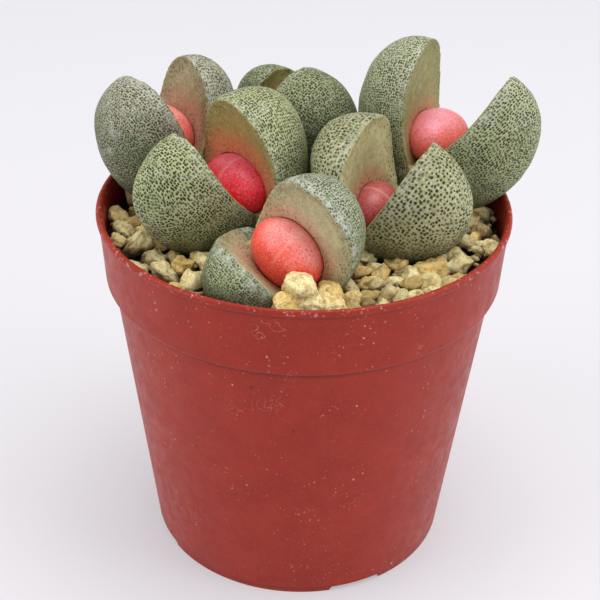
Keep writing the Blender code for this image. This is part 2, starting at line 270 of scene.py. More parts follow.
def rounded(outline, radius, steps=5):
    """The outline with each corner but the end ones turned into a small arc."""
    done = [outline[0]]
    for before, corner, after in zip(outline, outline[1:], outline[2:]):
        before, corner, after = Vector(before), Vector(corner), Vector(after)
        reach = min(radius, (before - corner).length * 0.45, (after - corner).length * 0.45)
        start = corner + (before - corner).normalized() * reach
        end = corner + (after - corner).normalized() * reach
        for step in range(steps + 1):
            share = step / steps
            point = start * (1 - share) ** 2 + corner * 2 * share * (1 - share) + end * share**2
            done.append(tuple(point))
    done.append(outline[-1])
    return done


def smooth_shade(made, angle=180):
    made.data.shade_smooth()
    if angle < 180:
        made.data.set_sharp_from_angle(angle=math.radians(angle))


def store(mesh, name, values):
    """Keeps one number or one vector for each point of a mesh, for a material to read."""
    values = np.asarray(values, np.float32)
    if values.ndim == 1:
        mesh.attributes.new(name, "FLOAT", "POINT").data.foreach_set("value", values)
    else:
        layer = mesh.attributes.new(name, "FLOAT_VECTOR", "POINT")
        layer.data.foreach_set("vector", values.reshape(-1))


def points_of(mesh):
    points = np.empty(len(mesh.vertices) * 3, np.float32)
    mesh.vertices.foreach_get("co", points)
    return points.reshape(-1, 3).astype(float)


def normals_of(mesh):
    normals = np.empty(len(mesh.vertices) * 3, np.float32)
    mesh.vertex_normals.foreach_get("vector", normals)
    return normals.reshape(-1, 3).astype(float)


def set_points(mesh, points):
    mesh.vertices.foreach_set("co", np.asarray(points, np.float32).reshape(-1))
    mesh.update()


def dress(made, finish, slot, *nodes):
    """Gives a finished piece its material and its place in the frame."""
    made.data.materials.clear()
    made.data.materials.append(finish)
    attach(made, "root")
    if nodes:
        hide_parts(*nodes)


# Leaves


def plant_axes(plant):
    """The cleft's direction, the plant's own up, and the way from the cleft to the first leaf."""
    turn = math.radians(plant.turn)
    dip = math.radians(plant.dip)
    flat = np.array((math.cos(turn), math.sin(turn), 0))
    along = flat * math.cos(dip) + np.array((0, 0, math.sin(dip)))
    up = -flat * math.sin(dip) + np.array((0, 0, math.cos(dip)))
    return along, up, np.cross(along, up)


def swell(height, low, middle, top, power):
    """0 at the foot and tip of a leaf and 1 at its fullest height, round in between."""
    above = np.clip((height - middle) / (top - middle), 0, 1)
    below = np.clip((middle - height) / (middle - low), 0, 1)
    return np.sqrt(1 - above**power) * np.sqrt(1 - below**FOOT_POWER)


def leaf_bend(leaf):
    start = math.radians(leaf.lean[0])
    bend = math.radians(leaf.lean[1] - leaf.lean[0]) / leaf.long
    return start, bend


def leaf_points(plant, leaf, side, across, height, behind):
    """Points of a leaf: across its width, up its curved cleft face, and behind that face."""
    along, up, out = plant_axes(plant)
    start, bend = leaf_bend(leaf)
    lean = start + bend * np.maximum(height, 0)
    below = np.minimum(height, 0)
    outward = (math.cos(start) - np.cos(lean)) / bend + math.sin(start) * below
    upward = (np.sin(lean) - math.sin(start)) / bend + math.cos(start) * below
    outward = outward + np.cos(lean) * behind
    upward = upward - np.sin(lean) * behind
    points = np.array(plant.at) + along * (across + leaf.slip)[..., None]
    return points + up * upward[..., None] + out * (side * outward)[..., None]


def leaf_place(plant, leaf, side, points):
    """The reverse of leaf_points: how far points lie across, up and behind a leaf's face."""
    along, up, out = plant_axes(plant)
    start, bend = leaf_bend(leaf)
    offset = points - np.array(plant.at)
    across = offset @ along - leaf.slip
    outward = side * (offset @ out)
    upward = offset @ up
    turn = 1 if bend > 0 else -1
    from_centre = outward - math.cos(start) / bend
    above_centre = upward + math.sin(start) / bend
    lean = np.arctan2(turn * above_centre, -turn * from_centre)
    height = (lean - start) / bend
    behind = 1 / bend - turn * np.hypot(from_centre, above_centre)
    straight_height = outward * math.sin(start) + upward * math.cos(start)
    straight_behind = outward * math.cos(start) - upward * math.sin(start)
    low = straight_height < 0
    return (
        across,
        np.where(low, straight_height, height),
        np.where(low, straight_behind, behind),
    )


def leaf_loft(plant, leaf, side, ring_count, back_columns, face_columns):
    """Points and faces of one old leaf as a closed loft from its foot to its tip."""
    low = -LEAF_FOOT
    top = leaf.long
    height = low + (top - low) * (1 - np.cos(np.pi * np.arange(1, ring_count) / ring_count)) / 2
    half = leaf.width / 2 * swell(height, low, leaf.widest, top, TIP_POWER)
    depth = leaf.thick * swell(height, low, leaf.fullest, top, BACK_POWER)
    turn = np.pi * np.arange(back_columns + 1) / back_columns
    place = -1 + 2 * np.arange(1, face_columns) / face_columns
    dish = np.minimum(LEAF_DISH, depth / 4)
    across = np.hstack([np.outer(half, np.cos(turn)), np.outer(half, place)])
    behind = np.hstack([np.outer(depth, np.sin(turn)), np.outer(dish, 1 - place**2)])
    heights = np.repeat(height[:, None], across.shape[1], 1)
    points = leaf_points(plant, leaf, side, across, heights, behind).reshape(-1, 3)
    ends = leaf_points(plant, leaf, side, np.zeros(2), np.array((low, top)), np.zeros(2))
    foot = len(points)
    count = across.shape[1]
    faces = []
    for ring in range(ring_count - 2):
        for i in range(count):
            j = (i + 1) % count
            a = ring * count
            faces.append((a + i, a + j, a + count + j, a + count + i))
    last = (ring_count - 2) * count
    for i in range(count):
        j = (i + 1) % count
        faces.append((foot, j, i))
        faces.append((foot + 1, last + i, last + j))
    return np.vstack([points, ends]), faces


def cone(low, high, low_radius, high_radius, centre, sides):
    """Points and faces of an upright, closed cone."""
    turn = math.tau * np.arange(sides) / sides
    ring = np.stack([np.cos(turn), np.sin(turn), np.zeros(sides)], 1)
    middle = np.array((*centre, 0))
    lower = ring * low_radius + middle + (0, 0, low)
    upper = ring * high_radius + middle + (0, 0, high)
    faces = [
        (i, (i + 1) % sides, sides + (i + 1) % sides, sides + i) for i in range(sides)
    ]
    faces += [tuple(range(sides))[::-1], tuple(range(sides, 2 * sides))]
    return np.vstack([lower, upper]), faces


def taproot_loft(plant, sides):
    low = MIX_TOP - TAPROOT_LONG
    return cone(low, plant.at[2] - 5, TAPROOT_END, TAPROOT_TOP, plant.at[:2], sides)


def pair_axes(plant, grow=0.0):
    """The new pair's middle and its three half axes, as rows: along, across and up."""
    along, up, out = plant_axes(plant)
    pair = plant.new_pair
    centre = np.array(plant.at) + along * pair.along + out * pair.across + up * pair.rise
    return centre, np.array(
        (
            along * (pair.long / 2 + grow),
            out * (pair.wide / 2 + grow),
            up * (pair.tall / 2 + grow),
        )
    )


def pair_loft(plant, rings, columns):
    """Points and faces of the new pair's ovoid, its poles at the ends of the cleft."""
    centre, axes = pair_axes(plant)
    polar = np.pi * np.arange(1, rings) / rings
    turn = math.tau * np.arange(columns) / columns
    ball = np.stack(
        [
            np.repeat(np.cos(polar), columns),
            np.outer(np.sin(polar), np.cos(turn)).ravel(),
            np.outer(np.sin(polar), np.sin(turn)).ravel(),
        ],
        1,
    )
    ball = np.vstack([ball, (1, 0, 0), (-1, 0, 0)])
    last = (rings - 2) * columns
    pole = len(ball) - 2
    faces = []
    for ring in range(rings - 2):
        for i in range(columns):
            j = (i + 1) % columns
            a = ring * columns
            faces.append((a + i, a + columns + i, a + columns + j, a + j))
    for i in range(columns):
        j = (i + 1) % columns
        faces.append((pole, i, j))
        faces.append((pole + 1, last + j, last + i))
    return centre + ball @ axes, faces, ball


def merged(*parts):
    """Several (points, faces) shapes as one."""
    points, faces, start = [], [], 0
    for part_points, part_faces in parts:
        points.append(part_points)
        faces += [tuple(start + i for i in face) for face in part_faces]
        start += len(part_points)
    return np.vstack(points), faces


def waviness(points, size, seed):
    """Smooth random heights from about -1 to 1 at points in millimetres."""
    shift = Vector((seed * 17.3, seed * 5.1, seed * 9.7))
    return np.array([noise.noise(Vector(point) / size + shift) for point in points])


def old_leaves_object(plant, leaves, number):
    """Both old leaves and their root as one skin with rounded rims, in metres at the end."""
    fine = 1
    points, faces = merged(
        leaf_loft(plant, plant.first, 1, 44 // fine, 40 // fine, 16 // fine),
        leaf_loft(plant, plant.second, -1, 44 // fine, 40 // fine, 16 // fine),
        taproot_loft(plant, 20),
    )
    made = make_mesh("old_leaves_look_" + plant.name, points / MM, faces)
    remesh = made.modifiers.new("one skin", "REMESH")
    remesh.mode = "VOXEL"
    remesh.voxel_size = leaves.skin_detail / MM * fine
    rounding = made.modifiers.new("rounding", "SMOOTH")
    rounding.factor = 0.5
    rounding.iterations = max(1, leaves.rim_rounding // fine)
    settle(made)

    mesh = made.data
    points = points_of(mesh)
    centre, axes = pair_axes(plant, 0.12)
    lengths = np.linalg.norm(axes, axis=1)
    inside = (points - centre) @ (axes / lengths[:, None] ** 2).T
    reach = np.linalg.norm(inside, axis=1)
    pressed = np.where(reach < 1, 1 / np.maximum(reach, 1e-6), 1)
    points = centre + (inside * pressed[:, None]) @ axes
    from_young = (reach * pressed - 1) * lengths.min()

    places = [
        leaf_place(plant, leaf, side, points)
        for leaf, side in ((plant.first, 1), (plant.second, -1))
    ]
    first = places[0][2] > places[1][2]
    lift = [behind - face_dish(leaf, across, height) for leaf, (across, height, behind) in zip(
        (plant.first, plant.second), places
    )]
    lift = np.where(first, *lift)
    rim = np.minimum(
        rim_distance(plant, plant.first, 1, points), rim_distance(plant, plant.second, -1, points)
    )
    store(mesh, "cleft_face", smooth_step(0.7, 0.2, lift))
    store(mesh, "rim", np.clip(rim, 0, 10))
    store(mesh, "from_young", np.clip(from_young, 0, 20))
    maps = zip(
        skin_maps(plant.first, 0, *places[0]),
        skin_maps(plant.second, 90, *places[1]),
    )
    for name, (of_first, of_second) in zip(("skin_disc", "skin_ring", "skin_out"), maps):
        here = first[:, None] if of_first.ndim > 1 else first
        store(mesh, name, np.where(here, of_first, of_second))

    normals = normals_of(mesh)
    swell_out = 0.22 * waviness(points, 7.0, number) + 0.07 * waviness(points, 2.2, number + 9)
    calm = smooth_step(0.0, 2.5, rim) * smooth_step(0.0, 1.5, from_young)
    points = points + normals * (leaves.waviness / MM * swell_out * calm)[:, None]
    set_points(mesh, points * MM)
    smooth_shade(made)
    return made


def face_dish(leaf, across, height):
    """How far a leaf's cleft face is hollowed at points of it."""
    half = leaf.width / 2 * swell(height, -LEAF_FOOT, leaf.widest, leaf.long, TIP_POWER)
    place = np.clip(across / np.maximum(half, 0.1), -1, 1)
    return LEAF_DISH * (1 - place**2)


def skin_maps(leaf, shift, across, height, behind):
    """Two flat maps of a leaf's back, in metres, and how far each point is from the back's middle.

    The disc is true to scale round the middle of the back and the ring is true along the rim.
    The last value runs from 0 in the middle to 1 at the rim.
    """
    bend = leaf_bend(leaf)[1]
    half_width = leaf.width / 2
    stretch = 1 - bend * 0.6 * leaf.thick
    above = height - leaf.widest
    half_height = np.where(above > 0, leaf.long - leaf.widest, leaf.widest + LEAF_FOOT)
    x, y, z = across / half_width, above / half_height, np.maximum(behind, 0) / leaf.thick
    flat = np.maximum(np.hypot(x, y), 1e-6)
    polar = np.arctan2(flat, z)
    side = np.stack([half_width * x / flat, half_height * stretch * y / flat])
    reach = np.hypot(*side)
    arc = np.zeros(len(polar))
    middle = np.zeros(len(polar))
    for step in np.arange(0.5, 16) / 16:
        turn = polar * step
        arc += np.hypot(reach * np.cos(turn), leaf.thick * np.sin(turn)) * polar / 16
        turn = MAP_BORDER * math.pi / 2 * step
        middle += np.hypot(reach * np.cos(turn), leaf.thick * np.sin(turn)) * turn / step / 16
    disc = side / reach * arc
    round_turn = np.linspace(-math.pi, math.pi, 361)
    tall = np.where(round_turn > 0, leaf.long - leaf.widest, leaf.widest + LEAF_FOOT) * stretch
    radius = 1 / np.hypot(np.cos(round_turn) / half_width, np.sin(round_turn) / tall)
    length = np.cumsum(radius) * math.tau / 360 * 0.88
    ring = np.interp(np.arctan2(side[1], side[0]), round_turn, length)
    zero = 0 * arc
    return (
        np.stack([disc[0] + shift, disc[1], zero], 1) * MM,
        np.stack([ring + shift, arc - middle, zero], 1) * MM,
        polar / (math.pi / 2),
    )


def rim_distance(plant, leaf, side, points):
    """How far each point lies from the rim between a leaf's face and its back."""
    height = np.linspace(-3, leaf.long, 90)
    half = leaf.width / 2 * swell(height, -LEAF_FOOT, leaf.widest, leaf.long, TIP_POWER)
    rims = [
        leaf_points(plant, leaf, side, sign * half, height, np.zeros(len(height)))
        for sign in (-1, 1)
    ]
    rims = np.vstack(rims)
    nearest = np.full(len(points), np.inf)
    for start in range(0, len(rims), 30):
        gaps = np.linalg.norm(points[:, None] - rims[None, start : start + 30], axis=2)
        nearest = np.minimum(nearest, gaps.min(1))
    return nearest


def smooth_step(low, high, value):
    share = np.clip((value - low) / (high - low), 0, 1)
    return share * share * (3 - 2 * share)


def new_leaves_object(plant, number):
    """The young pair: an ovoid with a shallow seam across its top where its own leaves meet."""
    points, faces, ball = pair_loft(plant, 72, 64)
    centre, axes = pair_axes(plant)
    pair = plant.new_pair
    lengthwise = ball[:, 0] * pair.long / 2
    seam = np.exp(-((lengthwise - 0.6) / 0.32) ** 2) * smooth_step(-0.1, 0.4, ball[:, 2])
    out = points - centre
    out /= np.linalg.norm(out, axis=1)[:, None]
    relief = 0.09 * waviness(points, 5.0, number) - 0.05 * seam
    made = make_mesh("new_leaves_look_" + plant.name, points + out * relief[:, None], faces)
    store(made.data, "seam", seam)
    store(made.data, "top_side", ball[:, 2])
    smooth_shade(made)
    return made


# Pot


def pot_radii(pot):
    """The pot's radii in millimetres: under the lip, at the band's foot and just below the band."""
    top = (pot.rim_radius - pot.lip_proud) / MM
    low = top - pot.band_draft / MM
    return top, low, low - pot.step_in / MM


def inner_radius(pot, height):
    """The radius of the pot's inner wall at a height in millimetres."""
    top, low, body = pot_radii(pot)
    band_low = (pot.height - pot.band_height) / MM
    wall = pot.wall / MM
    if height > band_low:
        return low + (top - low) * (height - band_low) / (pot.band_height / MM) - wall
    foot = pot.foot_radius / MM
    return foot + (body - foot) * max(height, 0) / band_low - wall


def pot_outline(pot):
    height = pot.height / MM
    rim = pot.rim_radius / MM
    foot = pot.foot_radius / MM
    floor = pot.floor_low / MM
    band_low = height - pot.band_height / MM
    top, low, body = pot_radii(pot)
    pad = pot.pad_radius / MM
    outside = [
        (0, 0),
        (pad, 0),
        (pad + 1.2, floor),
        (foot - 2.8, floor),
        (foot - 1.6, 0),
        (foot, 0),
        (body, band_low - 1.1),
        (body + 0.2, band_low - 0.5),
        (low - 0.35, band_low - 0.2),
        (low, band_low + 0.3),
        (top, height - 1.8),
        (rim - 0.1, height - 1.5),
        (rim, height - 0.7),
        (rim - 0.25, height - 0.1),
        (rim - 0.8, height),
        (rim - 1.3, height - 0.3),
        (inner_radius(pot, height - 1.5), height - 1.5),
    ]
    inside = [
        (inner_radius(pot, band_low + 0.1), band_low + 0.1),
        (inner_radius(pot, band_low - 1.6), band_low - 1.6),
        (inner_radius(pot, FLOOR_TOP), FLOOR_TOP),
        (0, FLOOR_TOP),
    ]
    return rounded(outside + inside, 0.35)


def notch_cutter(pot, turn):
    """A low arched block that lets water out under the foot ring."""
    foot = pot.foot_radius / MM
    tall = pot.notch_height / MM
    half = foot * math.sin(math.radians(pot.notch_turn / 2))
    bm = bmesh.new()
    arch = [(-half, -1), (half, -1), (half, tall - 0.5), (half - 0.5, tall), (0.5 - half, tall), (-half, tall - 0.5)]
    inner = [bm.verts.new((foot - 4.5, y, z)) for y, z in arch]
    outer = [bm.verts.new((foot + 3.5, y, z)) for y, z in arch]
    bm.faces.new(inner)
    bm.faces.new(outer[::-1])
    for i in range(len(arch)):
        j = (i + 1) % len(arch)
        bm.faces.new((inner[i], outer[i], outer[j], inner[j]))
    bmesh.ops.rotate(bm, cent=(0, 0, 0), matrix=Matrix.Rotation(turn, 3, "Z"), verts=bm.verts)
    return bmesh_object("notch_cutter", bm)


# Grit


def grown_room(points, faces, grow):
    """A coarse shape moved out along its normals, as a tree to measure distances from."""
    bm = bmesh.new()
    corners = [bm.verts.new(point) for point in points]
    for face in faces:
        bm.faces.new([corners[i] for i in face])
    bmesh.ops.recalc_face_normals(bm, faces=bm.faces)
    if bm.calc_volume(signed=True) < 0:
        bmesh.ops.reverse_faces(bm, faces=bm.faces)
    bm.normal_update()
    steps = [vertex.normal * grow * vertex.calc_shell_factor() for vertex in bm.verts]
    for vertex, step in zip(bm.verts, steps):
        vertex.co += step
    tree = BVHTree.FromBMesh(bm)
    bm.free()
    return tree


def plant_rooms():
    """The space that each plant keeps free of chips."""
    rooms = []
    for plant in PLANTS:
        rooms.append(grown_room(*leaf_loft(plant, plant.first, 1, 12, 8, 4), ROOM))
        rooms.append(grown_room(*leaf_loft(plant, plant.second, -1, 12, 8, 4), ROOM))
        rooms.append(grown_room(*pair_loft(plant, 10, 14)[:2], ROOM))
        rooms.append(grown_room(*taproot_loft(plant, 9), ROOM))
    return rooms


def taken(tree, point, clear):
    """Whether a point lies inside a closed surface or nearer to it than clear."""
    if tree.find_nearest(point)[3] < clear:
        return True
    up = Vector((0, 0, 1))
    crossings = 0
    place = tree.ray_cast(point, up)[0]
    while place is not None:
        crossings += 1
        place = tree.ray_cast(place + up * 1e-3, up)[0]
    return crossings % 2 == 1


def chip_places(pot, grit, rooms):
    """Middles and half sizes of the large chips, placed as in the solids."""
    draw = random.Random(grit.seed)
    places = [(Vector(here), size) for here, size in LAID_CHIPS]
    small, large = grit.smallest / MM, grit.largest / MM
    for _ in range(2600):
        size = draw.uniform(small, large)
        reach = (inner_radius(pot, GRIT_TOP) - GAP - size) * math.sqrt(draw.random())
        turn = draw.uniform(0, math.tau)
        height = GRIT_TOP - size + draw.uniform(-1.3, 0.3)
        here = Vector((reach * math.cos(turn), reach * math.sin(turn), height))
        if any((here - other).to_2d().length < grit.spacing / MM for other, _ in places):
            continue
        if any(taken(tree, here, 0.25 * size) for tree in rooms):
            continue
        places.append((here, size))
    return places


def crumb_places(pot, grit, rooms, chips, count, smallest, largest, seed):
    """Middles and half sizes of smaller bits that fill in between the chips."""
    draw = random.Random(seed)
    places = []
    for _ in range(40 * count):
        size = draw.uniform(smallest, largest)
        reach = (inner_radius(pot, GRIT_TOP) - GAP - size) * math.sqrt(draw.random())
        turn = draw.uniform(0, math.tau)
        height = BED_TOP + size * 0.6 + draw.uniform(0, 1.4)
        here = Vector((reach * math.cos(turn), reach * math.sin(turn), height))
        if any((here - other).length < 0.72 * (size + far) for other, far in chips + places):
            continue
        if any(taken(tree, here, 0.1) for tree in rooms):
            continue
        places.append((here, size))
        if len(places) == count:
            break
    return places


def chip_shape(name, subdivisions, draw, pits):
    """One chip of pumice about 1 m in radius: a ball with planed sides, lumps and pits."""
    bm = bmesh.new()
    bmesh.ops.create_icosphere(bm, subdivisions=subdivisions, radius=1.12)
    planes = []
    for number in range(10):
        high = 1 - 2 * (number + 0.5) / 10
        turn = number * 2.4 + draw.uniform(-0.6, 0.6)
        flat = math.sqrt(1 - high * high)
        normal = Vector((flat * math.cos(turn), flat * math.sin(turn), high))
        planes.append((normal, draw.uniform(0.6, 1.0)))
    holes = []
    for _ in range(pits):
        away = Vector([draw.gauss(0, 1) for _ in range(3)]).normalized()
        holes.append((away, draw.uniform(0.1, 0.24), draw.uniform(0.06, 0.16)))
    shift = Vector([draw.uniform(-50, 50) for _ in range(3)])
    for vertex in bm.verts:
        way = vertex.co.normalized()
        point = vertex.co.copy()
        for normal, far in planes:
            point -= normal * max(0, point.dot(normal) - far) * 0.9
        bulge = 0.26 * noise.noise(way * 1.5 + shift) + 0.12 * noise.noise(way * 3.5 + shift)
        bulge += 0.06 * noise.noise(way * 8 + shift)
        for away, wide, deep in holes:
            bulge -= deep * math.exp(-(((way - away).length / wide) ** 2))
        point += way * bulge
        vertex.co = point * min(1, 1.1 / point.length)
    mesh = bpy.data.meshes.new(name)
    bm.to_mesh(mesh)
    bm.free()
    mesh.shade_smooth()
    return bpy.data.objects.new(name, mesh)


def scatter_tree():
    """Geometry nodes that stand one of several chip shapes on each point of a mesh."""
    tree = bpy.data.node_groups.new("Chips on points", "GeometryNodeTree")
    face = tree.interface
    face.new_socket("Points", in_out="INPUT", socket_type="NodeSocketGeometry")
    face.new_socket("Chip shapes", in_out="INPUT", socket_type="NodeSocketCollection")
    face.new_socket("Size", in_out="INPUT", socket_type="NodeSocketFloat")
    face.new_socket("Seed", in_out="INPUT", socket_type="NodeSocketInt")
    face.new_socket("Finish", in_out="INPUT", socket_type="NodeSocketMaterial")
    face.new_socket("Chips", in_out="OUTPUT", socket_type="NodeSocketGeometry")
    nodes, links = tree.nodes, tree.links
    given = nodes.new("NodeGroupInput")
    result = nodes.new("NodeGroupOutput")
    shapes = nodes.new("GeometryNodeCollectionInfo")
    shapes.inputs["Separate Children"].default_value = True
    shapes.inputs["Reset Children"].default_value = True
    links.new(given.outputs["Chip shapes"], shapes.inputs["Collection"])

    stretch = nodes.new("GeometryNodeInputNamedAttribute")
    stretch.data_type = "FLOAT_VECTOR"
    stretch.inputs["Name"].default_value = "chip_stretch"
    scaled = nodes.new("ShaderNodeVectorMath")
    scaled.operation = "SCALE"
    links.new(stretch.outputs["Attribute"], scaled.inputs[0])
    links.new(given.outputs["Size"], scaled.inputs["Scale"])

    turn = nodes.new("GeometryNodeInputNamedAttribute")
    turn.data_type = "FLOAT_VECTOR"
    turn.inputs["Name"].default_value = "chip_turn"
    kind = nodes.new("FunctionNodeRandomValue")
    kind.data_type = "INT"
    kind.inputs[4].default_value = 0
    kind.inputs[5].default_value = 99
    links.new(given.outputs["Seed"], kind.inputs["Seed"])

    place = nodes.new("GeometryNodeInstanceOnPoints")
    place.inputs["Pick Instance"].default_value = True
    links.new(given.outputs["Points"], place.inputs["Points"])
    links.new(shapes.outputs[0], place.inputs["Instance"])
    links.new(kind.outputs[2], place.inputs["Instance Index"])
    links.new(turn.outputs["Attribute"], place.inputs["Rotation"])
    links.new(scaled.outputs["Vector"], place.inputs["Scale"])

    tone = nodes.new("FunctionNodeRandomValue")
    tone.data_type = "FLOAT"
    links.new(given.outputs["Seed"], tone.inputs["Seed"])
    keep = nodes.new("GeometryNodeStoreNamedAttribute")
    keep.data_type = "FLOAT"
    keep.domain = "INSTANCE"
    keep.inputs["Name"].default_value = "chip_tone"
    links.new(place.outputs["Instances"], keep.inputs["Geometry"])
    links.new(tone.outputs[1], keep.inputs["Value"])
    real = nodes.new("GeometryNodeRealizeInstances")
    links.new(keep.outputs["Geometry"], real.inputs["Geometry"])
    finish = nodes.new("GeometryNodeSetMaterial")
    links.new(real.outputs["Geometry"], finish.inputs["Geometry"])
    links.new(given.outputs["Finish"], finish.inputs["Material"])
    links.new(finish.outputs["Geometry"], result.inputs["Chips"])
    return tree


def scattered(name, places, shapes, seed, finish):
    """Chips of the given shapes at the given places, as one plain mesh."""
    draw = random.Random(seed)
    mesh = bpy.data.meshes.new(name)
    mesh.from_pydata([tuple(here * MM) for here, _ in places], [], [])
    stretches, turns = [], []
    for here, size in places:
        stretch = (draw.uniform(1.2, 1.85), draw.uniform(0.95, 1.25), draw.uniform(0.9, 1.15))
        turn = (draw.uniform(-0.7, 0.7), draw.uniform(-0.7, 0.7), draw.uniform(0, math.tau))
        if (tuple(here), size) == LAID_CHIPS[0]:
            stretch, turn = LAID_STRETCH, LAID_TURN
        stretches.append([size * MM * part for part in stretch])
        turns.append(turn)
    store(mesh, "chip_stretch", stretches)
    store(mesh, "chip_turn", turns)
    made = bpy.data.objects.new(name, mesh)
    bpy.context.scene.collection.objects.link(made)
    group = bpy.data.collections.new(name + "_shapes")
    for shape in shapes:
        group.objects.link(shape)
    tree = scatter_tree()
    step = made.modifiers.new("chips", "NODES")
    step.node_group = tree
    given = {
        "Chip shapes": group,
        "Size": 1.0,
        "Seed": seed,
        "Finish": finish,
    }
    for socket in tree.interface.items_tree:
        if socket.name in given:
            step[socket.identifier] = given[socket.name]
    settle(made)
    for shape in shapes:
        bpy.data.objects.remove(shape)
    bpy.data.collections.remove(group)
    return made


def keep_inside(made, pot):
    """Moves what reaches into the pot's wall back inside it."""
    points = points_of(made.data) / MM
    reach = np.hypot(points[:, 0], points[:, 1])
    limit = np.array([inner_radius(pot, height) - 0.2 for height in points[:, 2]])
    points[:, :2] *= np.minimum(1, limit / np.maximum(reach, 1e-6))[:, None]
    set_points(made.data, points * MM)


def bed_object(pot):
    """The lumpy bed of dust and broken grit that shows between the chips."""
    rings, columns = 70, 200
    low = MIX_TOP + GAP
    points = []
    for ring in range(rings + 1):
        share = ring / rings
        radius = (inner_radius(pot, BED_TOP) - GAP) * share
        for column in range(columns):
            turn = math.tau * column / columns
            x, y = radius * math.cos(turn), radius * math.sin(turn)
            spot = Vector((x, y, 0))
            lump = 0.45 * noise.noise(spot / 1.7) + 0.3 * noise.noise(spot / 0.8)
            points.append((x, y, BED_TOP - 0.6 + lump))
    bottom = inner_radius(pot, low) - GAP
    for column in range(columns):
        turn = math.tau * column / columns
        points.append((bottom * math.cos(turn), bottom * math.sin(turn), low))
    faces = []
    for ring in range(rings + 1):
        for i in range(columns):
            j = (i + 1) % columns
            a = ring * columns
            faces.append((a + i, a + columns + i, a + columns + j, a + j))
    faces.append(tuple((rings + 1) * columns + i for i in range(columns))[::-1])
    made = make_mesh("grit_bed", points, faces)
    bm = bmesh.new()
    bm.from_mesh(made.data)
    bmesh.ops.remove_doubles(bm, verts=bm.verts, dist=1e-6)
    bmesh.ops.recalc_face_normals(bm, faces=bm.faces)
    bm.to_mesh(made.data)
    bm.free()
    smooth_shade(made, 50)
    return made


# Finishes


class Finish:
    """One material: a Principled shader and the nodes that feed it, joined by small calls."""

    def __init__(self, name, **sockets):
        self.material = bpy.data.materials.new(name)
        self.material.use_nodes = True
        self.tree = self.material.node_tree
        self.shader = self.tree.nodes["Principled BSDF"]
        for socket, value in sockets.items():
            self.shader.inputs[socket.replace("_", " ")].default_value = value
        self.spot = self.node("ShaderNodeTexCoord", {}).outputs["Object"]

    def node(self, kind, inputs, **settings):
        made = self.tree.nodes.new(kind)
        for setting, value in settings.items():
            setattr(made, setting, value)
        for socket, value in inputs.items():
            if isinstance(value, bpy.types.NodeSocket):
                self.tree.links.new(value, made.inputs[socket])
            else:
                made.inputs[socket].default_value = value
        return made

    def drive(self, socket, value):
        self.tree.links.new(value, self.shader.inputs[socket])

    def noise(self, size, detail=3.0, roughness=0.5, spot=None):
        """Noise from 0 to 1 with lumps about size millimetres across."""
        inputs = {
            "Vector": spot or self.spot,
            "Scale": 1000 / size,
            "Detail": detail,
            "Roughness": roughness,
        }
        return self.node("ShaderNodeTexNoise", inputs).outputs["Fac"]

    def cells(self, gap, spot=None, flat=False, randomness=0.9):
        """Cells gap millimetres apart: the distance from each one's middle, and its random colour."""
        inputs = {"Vector": spot or self.spot, "Scale": 1000 / gap, "Randomness": randomness}
        dimensions = "2D" if flat else "3D"
        return self.node("ShaderNodeTexVoronoi", inputs, voronoi_dimensions=dimensions)

    def chance(self, cells, low, high):
        """Picks out the share of cells whose own random number passes from low to high."""
        own = self.node("ShaderNodeSeparateColor", {0: cells.outputs["Color"]}).outputs[1]
        return self.span(own, low, high)

    def warped(self, size, amount, spot=None):
        """Coordinates pushed about by noise, both in millimetres."""
        spot = spot or self.spot
        inputs = {"Vector": spot, "Scale": 1000 / size, "Detail": 2.0}
        push = self.node("ShaderNodeTexNoise", inputs).outputs["Color"]
        centred = self.node("ShaderNodeVectorMath", {0: push, 1: (0.5, 0.5, 0.5)}, operation="SUBTRACT")
        inputs = {0: centred.outputs[0], "Scale": amount * 2 * MM}
        small = self.node("ShaderNodeVectorMath", inputs, operation="SCALE")
        return self.node("ShaderNodeVectorMath", {0: spot, 1: small.outputs[0]}).outputs[0]

    def span(self, value, low, high, to_low=0.0, to_high=1.0):
        """Maps low to high smoothly onto to_low to to_high, held at the ends."""
        inputs = {
            "Value": value,
            "From Min": low,
            "From Max": high,
            "To Min": to_low,
            "To Max": to_high,
        }
        made = self.node("ShaderNodeMapRange", inputs, interpolation_type="SMOOTHSTEP")
        return made.outputs["Result"]

    def maths(self, operation, *values):
        made = self.node("ShaderNodeMath", dict(enumerate(values)), operation=operation)
        return made.outputs[0]

    def times(self, *values):
        result = values[0]
        for value in values[1:]:
            result = self.maths("MULTIPLY", result, value)
        return result

    def blend(self, share, first, second):
        """A mix of two colours: share 0 is the first and 1 the second."""
        made = self.tree.nodes.new("ShaderNodeMix")
        made.data_type = "RGBA"
        for socket, value in ((0, share), (6, first), (7, second)):
            if isinstance(value, bpy.types.NodeSocket):
                self.tree.links.new(value, made.inputs[socket])
            elif socket == 0:
                made.inputs[socket].default_value = value
            else:
                made.inputs[socket].default_value = (*value[:3], 1)
        return made.outputs[2]

    def choose(self, share, first, second):
        """A mix of two vectors."""
        made = self.tree.nodes.new("ShaderNodeMix")
        made.data_type = "VECTOR"
        for socket, value in ((0, share), (4, first), (5, second)):
            self.tree.links.new(value, made.inputs[socket])
        return made.outputs[1]

    def held(self, name, output="Fac"):
        """A number or vector that the mesh keeps for each point."""
        return self.node("ShaderNodeAttribute", {}, attribute_name=name).outputs[output]

    def level(self):
        """The height above the ground, in metres."""
        return self.node("ShaderNodeSeparateXYZ", {0: self.spot}).outputs["Z"]

    def bump(self, height, distance, strength=1.0, under=None):
        inputs = {"Height": height, "Distance": distance * MM, "Strength": strength}
        if under is not None:
            inputs["Normal"] = under
        return self.node("ShaderNodeBump", inputs).outputs["Normal"]


